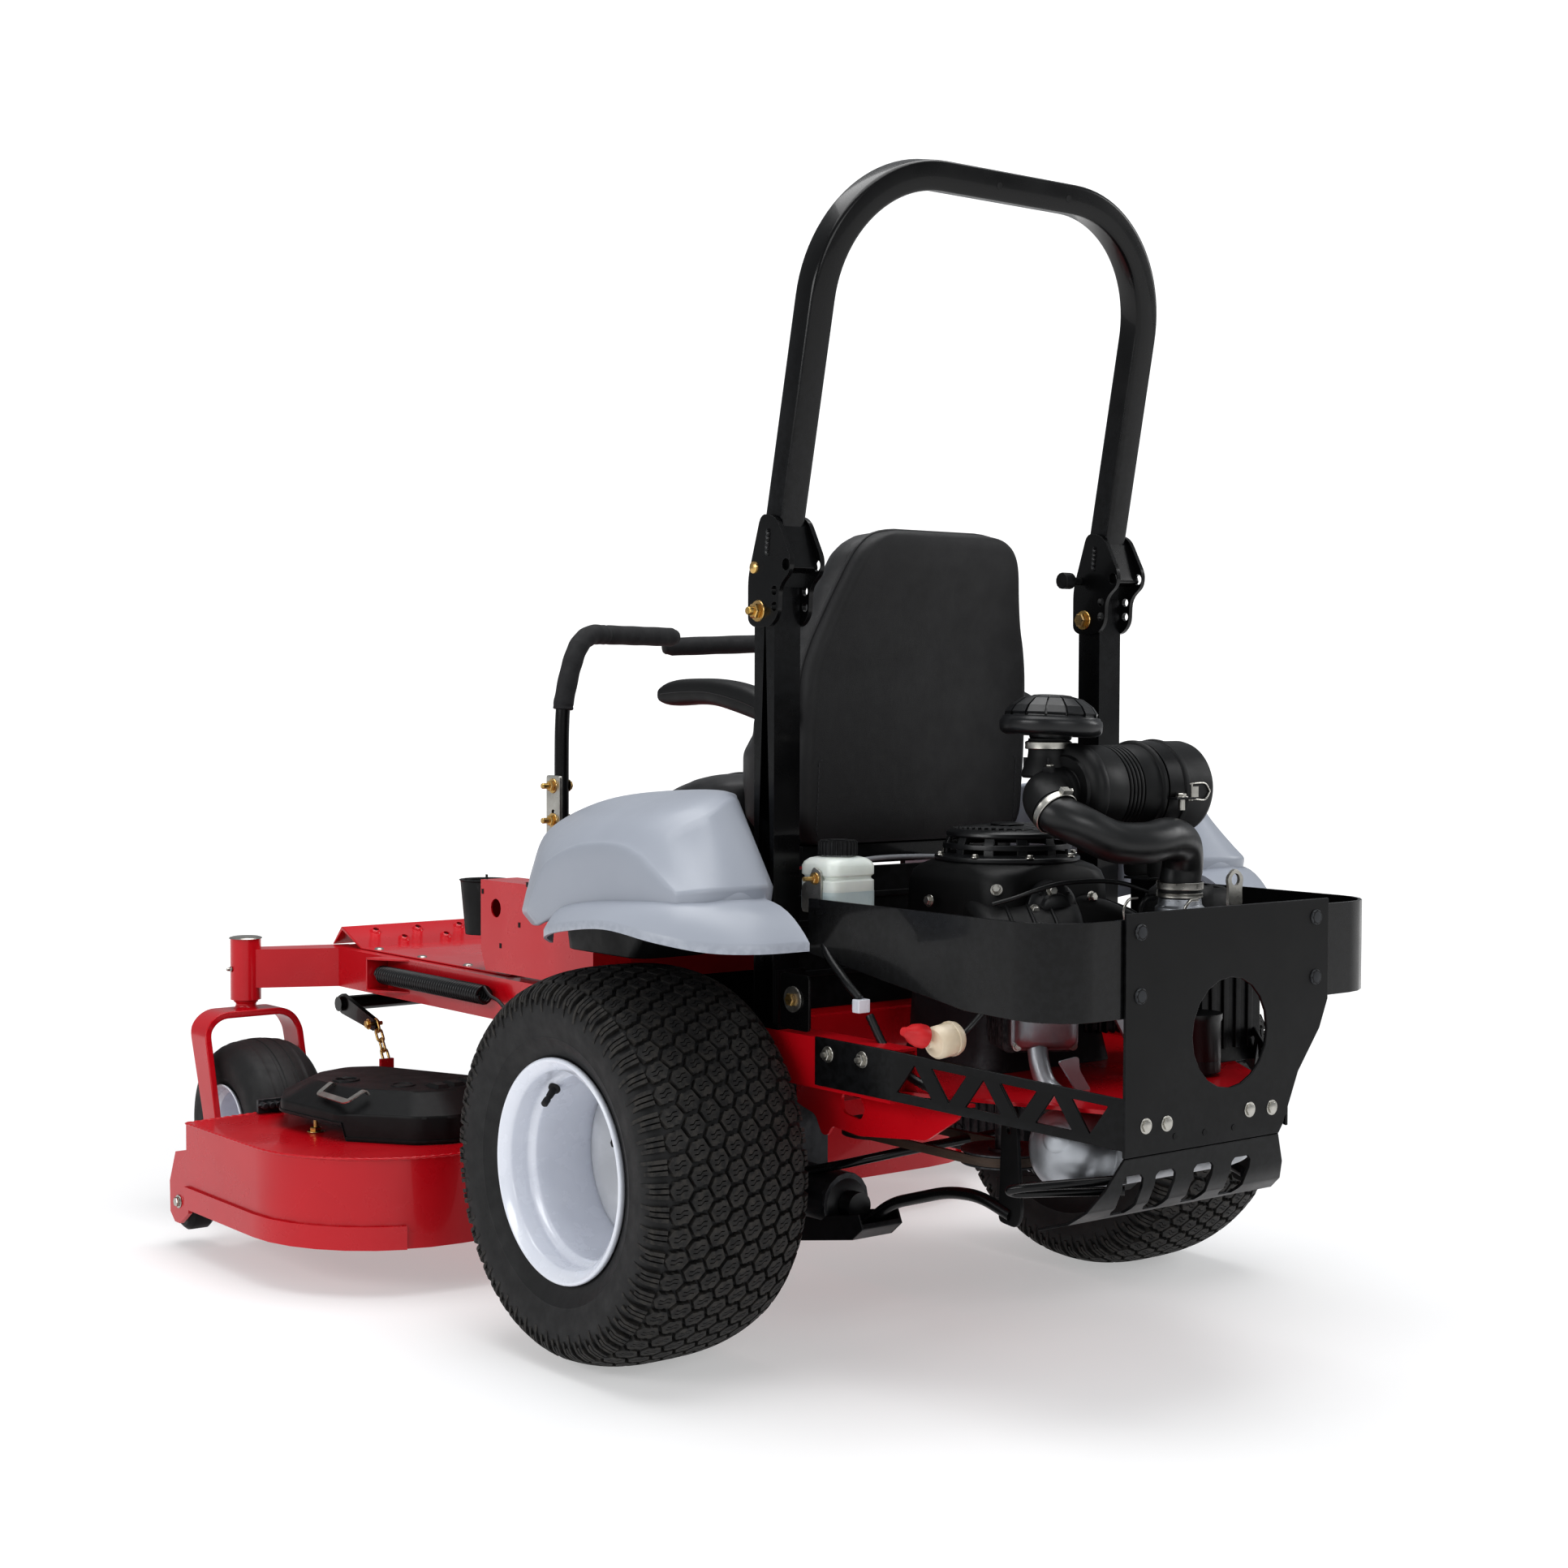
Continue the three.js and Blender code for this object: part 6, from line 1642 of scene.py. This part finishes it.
def add_belt_cover(side, name):
    """The belt cover with its latch handle, and the stud and tensioner beside it."""
    def ring(outline, z, shrink=0.0, front_z=None):
        middle = Vector((500, -790))
        points = []
        for u, v in filleted(outline, 16, 4):
            p = Vector((u, v))
            p += (middle - p).normalized() * shrink
            points.append((p.x, p.y, front_z if front_z and v < -712 else z))
        return points

    low = DECK_TOP + 0.6
    rings = [ring(COVER_TOP, low + 76, 6), ring(COVER_FOOT, low + 42, 8), ring(COVER_FOOT, low, 5, low + 26),
             ring(COVER_FOOT, low, 0, low + 26), ring(COVER_FOOT, low + 44, 0), ring(COVER_FOOT, low + 49, 3),
             ring(COVER_TOP, low + 80, -1), ring(COVER_TOP, low + 82.5, 4)]
    cover = Piece("belt_cover_mesh_" + name, "plastic", "cutting_deck")
    cover.grid(rings)
    lip = ring(COVER_FOOT, low + 3, -3, low + 28)
    cover.grid([lip, ring(COVER_FOOT, low + 7, -3, low + 32), ring(COVER_FOOT, low + 7, 1, low + 32),
                ring(COVER_FOOT, low + 3, 1, low + 28), lip], caps=False)
    top = low + 82
    for u, v in ((404, -700), (440, -690), (476, -684)):
        cover.grid([[(u - 12, v - 20, top), (u + 12, v - 20, top), (u + 12, v + 30, top),
                     (u - 12, v + 30, top)],
                    [(u - 9, v - 4, top + 7), (u + 9, v - 4, top + 7), (u + 9, v + 26, top + 7),
                     (u - 9, v + 26, top + 7)]])
    cover.ring([(18, 0), (25, 0), (24, 3), (20, 4), (18, 2)], (572, -836, top), sides=48)
    cover.block((570, -858, top), (574, -814, top + 3))
    cover.ring([(17, 0), (23, 0), (22, 2.4), (18, 2.4)], (*COVER_HOLE, top), sides=40)
    cover.done(angle=30, bevel=0.9, replaces=["belt_cover_" + name], side=side)
    # painted shade: a near-black disc fills the ring and stands for the shade inside the cover's hole
    hole_shade = Piece("belt_cover_hole_shade_" + name, "hole_shade", "cutting_deck")
    hole_shade.rod(17.4, 0.8, 0, (*COVER_HOLE, top), sides=40)
    hole_shade.done(side=side)
    latch = Piece("belt_cover_latch_" + name, "zinc", "cutting_deck")
    path = rounded_path([(606, -812, top - 4), (612, -812, top + 5), (640, -810, low + 70),
                         (643, -700, low + 70),
                         (606, -702, top + 5), (600, -702, top - 4)], 9, 6)
    latch.bar(path, [(-6, -1.2), (6, -1.2), (6, 1.2), (-6, 1.2)], (0, 0, 1))
    latch.done(angle=40, side=side)
    stud = Piece("deck_stud_" + name, "gold", "cutting_deck")
    stud.bolt((*DECK_STUD, DECK_TOP + 0.2), (0, 0, 1), 11, tall=7)
    stud.lathe([(0, 0), (4, 0), (4, 44), (3, 46), (0, 46)], (*DECK_STUD, DECK_TOP), sides=20)
    stud.done(angle=30, side=side)
    block = Piece("deck_tensioner_" + name, "cast", "cutting_deck")
    block.block((592, -1052, DECK_TOP + 0.4), (644, -1044, DECK_TOP + 26))
    for k in range(4):
        block.lathe([(0, -12), (5, -12), (6, -10), (6, 10), (5, 12), (0, 12)],
                    (598 + 13 * k, -1038, DECK_TOP + 16), (0, 1, 0), 24)
    block.tube([(588, -1038, DECK_TOP + 16), (648, -1038, DECK_TOP + 16)], 3.2, 16)
    block.done(bevel=0.8, side=side)


def add_deck_welds(side, name):
    """The weld bead around the deck's top edge, and the roller bracket's bolt."""
    weld = Piece("deck_weld_" + name, "red", "cutting_deck")
    x, y, reach = 530, -757, 258.6
    edge = [(640, -1058.6), (788.6, -1040.6)]
    edge += [(x + reach * math.cos(a), y + reach * math.sin(a))
             for a in (math.radians(6 * k) for k in range(16))]
    path = []
    for (ax, ay), (bx, by) in zip(edge, edge[1:]):
        steps = max(1, int(math.dist((ax, ay), (bx, by)) / 5))
        path += [(ax + (bx - ax) * k / steps, ay + (by - ay) * k / steps, DECK_TOP - 1.0)
                 for k in range(steps)]
    weld.tube(path, [2.3 + 0.7 * math.sin(2.1 * k) for k in range(len(path))], 8)
    weld.done(angle=60, side=side)
    bolts = Piece("deck_bracket_bolts_" + name, "zinc", "cutting_deck")
    bolts.bolt((784.4, -1082, 86), (1, 0, 0), 9)
    bolts.done(angle=30, side=side)


def add_chain(side, name):
    """The lift chain, which rides on the deck, and its bolt, which rides on the lift arm."""
    chain = Piece("lift_chain_" + name, "gold", "cutting_deck")
    top, low = Vector((CHAIN["x"], *CHAIN["top"])), Vector((CHAIN["x"], *CHAIN["low"]))
    along = (low - top).normalized()
    pitch = (low - top).length / CHAIN["links"]
    bend = CHAIN["bend"]
    half = pitch / 2 + 3.0 - bend
    for k in range(CHAIN["links"]):
        middle = top + along * pitch * (k + 0.5)
        across = Vector((1, 0, 0)) if k % 2 else along.cross(Vector((1, 0, 0)))
        loop = [middle + along * (half * s + bend * math.sin(a) * s) + across * bend * math.cos(a) * s
                for s in (1, -1) for a in (math.pi * j / 8 for j in range(9))]
        chain.tube([*loop, loop[0]], CHAIN["wire"], 10)
    chain.done(angle=60, side=side)
    pin = Piece("lift_chain_bolt_" + name, "gold", "deck_lift")
    pin.rod(4, -16, 20, (339, -1162, 366), (1, 0, 0), 20)
    pin.bolt((352, -1162, 366), (1, 0, 0), 8)
    pin.done(angle=30, side=side)


def add_deck_spring(side, name):
    """The helper spring along the frame rail, with its nut and pocket."""
    x, z, radius, wire, start, end, turns = DECK_SPRING.values()
    spring = Piece("deck_spring_" + name, "gloss_plastic")
    steps = 14
    helix = [(x + radius * math.cos(a), start + (end - start) * k / (turns * steps), z + radius * math.sin(a))
             for k in range(turns * steps + 1) for a in (2 * math.pi * k / steps,)]
    spring.tube(helix, wire, 8)
    spring.tube(rounded_path([(x, -650, 494), (x, -630, z), (390, -612, 474), (386, -598, 462)], 10, 6), wire,
                10)
    spring.done(angle=60, side=side)
    nut = Piece("deck_spring_nut_" + name, "zinc")
    nut.bolt((x, -1024, z), (0, -1, 0), 13, washer=False, tall=14)
    nut.rod(5, 0, 34, (x, -1024, z), (0, -1, 0), 20)
    nut.done(angle=30, side=side)
    pocket = Piece("deck_spring_pocket_" + name, "red")
    pocket.block((373, -1050, 448), (418, -1045, 512))
    for low in (508, 448):
        pocket.plate("xy", [(373, -1050), (418, -1050), (418, -1036), (373, -960)], low, low + 4)
    pocket.done(bevel=1.2, side=side)


def add_caster_cap(side, name):
    """The bright cap on top of the caster's pivot tube, and its grease fitting."""
    cap = Piece("caster_tube_cap_" + name, "zinc")
    cap.lathe([(0, 3.4), (26, 3.2), (31, 1.6), (32.4, -0.4), (0, -0.4)], (525, -1345, 531.2), sides=48)
    cap.lathe([(0, 9), (2, 9), (3.4, 6), (3.4, 2), (5.4, 1), (5.4, -1), (0, -1)], (557, -1345, 471),
              (1, 0, 0), 16)
    cap.done(angle=40, side=side)


add_tank()
add_fuel_filter()
add_rear_hardware()
for side, name in SIDES:
    add_post_hardware(side, name)
    add_belt_cover(side, name)
    add_deck_welds(side, name)
    add_chain(side, name)
    add_deck_spring(side, name)
    add_caster_cap(side, name)


# ---- casters, floor, chute ----------------------------------------------------------------
CHUTE_HINGE = (-792.0, 231.0)
FORK = dict(x=525.0, y=-1345.0, axle=-1283.0, hub=170.0, half=104.0, bar=13.0, corner=52.0, top=392.0,
            low=136.0)


def fork_span(z):
    """The fork bar's front and back at a height: its arms lean back to the axle."""
    y, axle = FORK["y"], FORK["axle"]
    stations = [(FORK["low"], axle - 22, axle + 22), (FORK["hub"] - 8, axle - 26, axle + 28),
                (362, y - 35, y + 35),
                (FORK["top"], y - 35, y + 35)]
    for (z0, f0, b0), (z1, f1, b1) in zip(stations, stations[1:]):
        if z <= z1:
            t = (z - z0) / (z1 - z0)
            return f0 + (f1 - f0) * t, b0 + (b1 - b0) * t
    return stations[-1][1:]


def add_fork(side, name):
    """The bent flat bar of a caster fork, its pivot collar, and the axle's bolts."""
    x, half, bar, corner, top, low = (FORK[k] for k in ("x", "half", "bar", "corner", "top", "low"))
    outline = [(-half, low), (-half, 200), (-half, 270), (-half, 330)]
    outline += [(-half + corner + corner * math.cos(a), top - corner + corner * math.sin(a))
                for a in (math.radians(180 - 7.5 * k) for k in range(13))]
    outline += [(-u, v) for u, v in reversed(outline)]
    rings = []
    for k, (u, v) in enumerate(outline):
        ahead = Vector(outline[min(k + 1, len(outline) - 1)]) - Vector(outline[max(k - 1, 0)])
        inward = Vector((ahead.y, -ahead.x)).normalized() * bar
        front, back = fork_span(v)
        rings.append([(x + u, front, v), (x + u, back, v), (x + u + inward.x, back, v + inward.y),
                      (x + u + inward.x, front, v + inward.y)])
    fork = Piece("caster_fork_mesh_" + name, "red", "caster_yoke_" + name)
    fork.grid(rings)
    fork.lathe([(0, 386), (27, 391), (24, 393), (20.5, 396), (20, 400), (20, 404), (24, 405), (24, 409.6),
                (0, 409.6)],
               (x, FORK["y"], 0), sides=48)
    fork.done(bevel=2.2, angle=40, segments=3, replaces=["caster_fork_" + name], side=side)
    axle = Piece("caster_axle_bolts_" + name, "zinc", "caster_yoke_" + name)
    for out in (-1, 1):
        axle.bolt((x + out * half, FORK["axle"], FORK["hub"]), (out, 0, 0), 11, tall=9)
    axle.done(angle=30, side=side)


def add_floor():
    """The floor pan's raised grip holes, each filled with a disc of painted shade, its bolts, and the ribbed
    wall behind the seat.
    """
    along = Vector((0, 77, -34.7)).normalized()
    normal = Vector((0, 34.7, 77)).normalized()
    grips = Piece("floor_pan_grips", "red")
    # painted shade: a near-black disc inside each grip ring stands for the shade in its hole
    hole_shade = Piece("floor_pan_grip_hole_shade", "hole_shade")
    for line, count in ((24, 7), (58, 6)):
        for k in range(count):
            at = Vector(((k - (count - 1) / 2) * 96.0, -1273, 548.4)) + along * line
            grips.ring([(6, 0), (13, -0.6), (10, 2.4), (8, 4.2), (6, 4.4)], at, normal, 28)
            hole_shade.rod(6.4, 0.9, 0, at, normal, 20)
    grips.done(angle=45)
    hole_shade.done()
    bolts = Piece("floor_pan_bolts", "zinc")
    for x in (-335, 335):
        for y in (-1150, -980, -810, -660):
            bolts.lathe([(0, 4), (5, 3.6), (8.6, 2), (9.6, 0), (0, 0)], (x, y, 513.4), sides=28)
    bolts.done(angle=50)
    box = Piece("seat_box_back", "satin_black")
    box.block((-308, 68.3, 520), (308, 72, 742.5))
    for z in (572, 612, 652, 692):
        box.block((-300, 72, z), (300, 77, z + 10))
    box.done(bevel=1.5)


def add_chute():
    """The chute's ribs and hinge knuckles, with the rod and spring that stay on the deck."""
    root, height = CHUTE_HINGE
    ribs = Piece("chute_ribs", "plastic", "chute")
    for y in (-985, -905, -810, -715, -635):
        line = rounded_path([(root - 18, y, height), (root - 60, y, 228.5), (root - 186, y, 157),
                             (root - 200, y, 128)],
                            14, 5)
        ribs.bar(line, [(-3, -3), (3, -3), (2, 3.5), (-2, 3.5)], (0, 1, 0))
    for y in (-960, -810, -660):
        ribs.lathe([(0, -16), (6.2, -16), (7, -14.5), (7, 14.5), (6.2, 16), (0, 16)], (root, y, height),
                   (0, 1, 0), 28)
    ribs.done(angle=35)
    rod = Piece("chute_hinge_rod", "zinc", "cutting_deck")
    rod.tube([(root, -1004, height), (root, -616, height)], 4.2, 20)
    rod.done(angle=50)
    spring = Piece("chute_spring", "steel", "cutting_deck")
    turns, steps = 12, 14
    spring.tube([(root + 5.6 * math.cos(a), -930 + 2.8 * k / steps, height + 5.6 * math.sin(a))
                 for k in range(turns * steps + 1) for a in (2 * math.pi * k / steps,)], 1.3, 7)
    spring.done(angle=60)


for side, name in SIDES:
    add_fork(side, name)
add_floor()
add_chute()


# ---- under the engine ---------------------------------------------------------------------
# centre and radius of the two pulleys on each side
PULLEYS = ((192.0, 196.0, 56.0), (190.0, 476.0, 62.0))
BELT_Z = 346.0


def add_belt_drive(side, name):
    """The two pulleys and belt of a hydraulic drive."""
    wheels = Piece("drive_pulleys_" + name, "cast")
    for x, y, r in PULLEYS:
        wheels.lathe([(0, 12), (24, 12), (26, 8), (r - 14, 8), (r - 10, 10), (r + 3, 10), (r + 3, 7.5),
                      (r - 7, 2),
                      (r - 7, -2), (r + 3, -7.5), (r + 3, -10), (r - 10, -10), (r - 14, -8), (26, -8),
                      (24, -14), (0, -14)],
                     (x, y, BELT_Z), sides=64)
        wheels.rod(15, 92, 10, (x, y, BELT_Z), sides=28)
    wheels.done(angle=36, side=side)
    (xa, ya, ra), (xb, yb, rb) = PULLEYS
    loop = [(xa + ra * math.cos(a), ya + ra * math.sin(a))
            for a in (math.radians(180 + 10 * k) for k in range(19))]
    loop += [(xa + ra + (xb + rb - xa - ra) * t, ya + (yb - ya) * t) for t in (0.25, 0.5, 0.75)]
    loop += [(xb + rb * math.cos(a), yb + rb * math.sin(a))
             for a in (math.radians(10 * k) for k in range(19))]
    loop += [(xb - rb + (xa - ra - xb + rb) * t, yb + (ya - yb) * t) for t in (0.25, 0.5, 0.75, 1.0)]
    belt = Piece("drive_belt_" + name, "belt")
    belt.bar([(x, y, BELT_Z) for x, y in loop], [(-5, -6), (3, -6.5), (3, 6.5), (-5, 6)])
    belt.done(angle=40, side=side)


def add_drive_brackets(side, name):
    """The red gusset below the truss, and the stay that holds the brake tube."""
    gusset = Piece("frame_gusset_" + name, "red")
    end = 520 if side == LEFT else 440
    outline = filleted([(150, 438), (150, 392), (196, 380), (212, 352), (226, 352), (236, 368), (300, 362),
                        (end - 70, 378), (end, 420), (end, 438)], 8)
    slot = filleted([(262, 392), (304, 386), (314, 404), (300, 424), (258, 420)], 8)
    gusset.plate("yz", outline, 316, 321, [slot])
    gusset.block((290, 150, 433), (321, end, 438))
    gusset.done(bevel=1.2, side=side)
    stay = Piece("brake_stay_" + name, "satin_black")
    stay.plate("yz", filleted([(528, 266), (566, 262), (575, 284), (562, 438), (534, 438)], 10), 246, 252,
               [circle(5, 20, 549, 400)])
    stay.done(bevel=1.0, side=side)


def add_engine_baffle():
    """The ribbed plate behind the engine, seen through the truss."""
    baffle = Piece("engine_baffle", "satin_black")
    baffle.block((-312, 522, 448), (-176, 526, 612))
    for x in (-290, -262, -234, -206):
        baffle.block((x, 526, 470), (x + 12, 530, 596))
    baffle.done(bevel=1.5)


for side, name in SIDES:
    add_belt_drive(side, name)
    add_drive_brackets(side, name)
add_engine_baffle()
# ---- CAD nodes that show -------------------------------------------------------------------
dress("red", 1.8, "main_frame", "floor_pan", "console_left", "console_right", "deck_shell")
dress("black", 3.0, "rops_post_left", "rops_post_right", "rear_bumper")
dress("black", 1.5, "lift_shaft", "seat_pan")
dress("satin_black", 1.2, "rear_panel", "skid_guard")
dress("plastic", 2.0, "cup_holder", "fuel_tank", "discharge_chute", "engine_fan", "anti_scalp_roller_left",
      "anti_scalp_roller_right", "throttle_lever", "rops_pin_left", "rops_pin_right")
dress("cast", 1.6, "engine_block", "transaxle_left", "transaxle_right", "spindle_left", "spindle_center",
      "spindle_right")
dress("steel", 0.8, "blade_left", "blade_center", "blade_right")
dress("yellow", 1.5, "blade_switch")
dress("zinc", 0.8, "lever_arm_left", "lever_arm_right", "ignition_key")
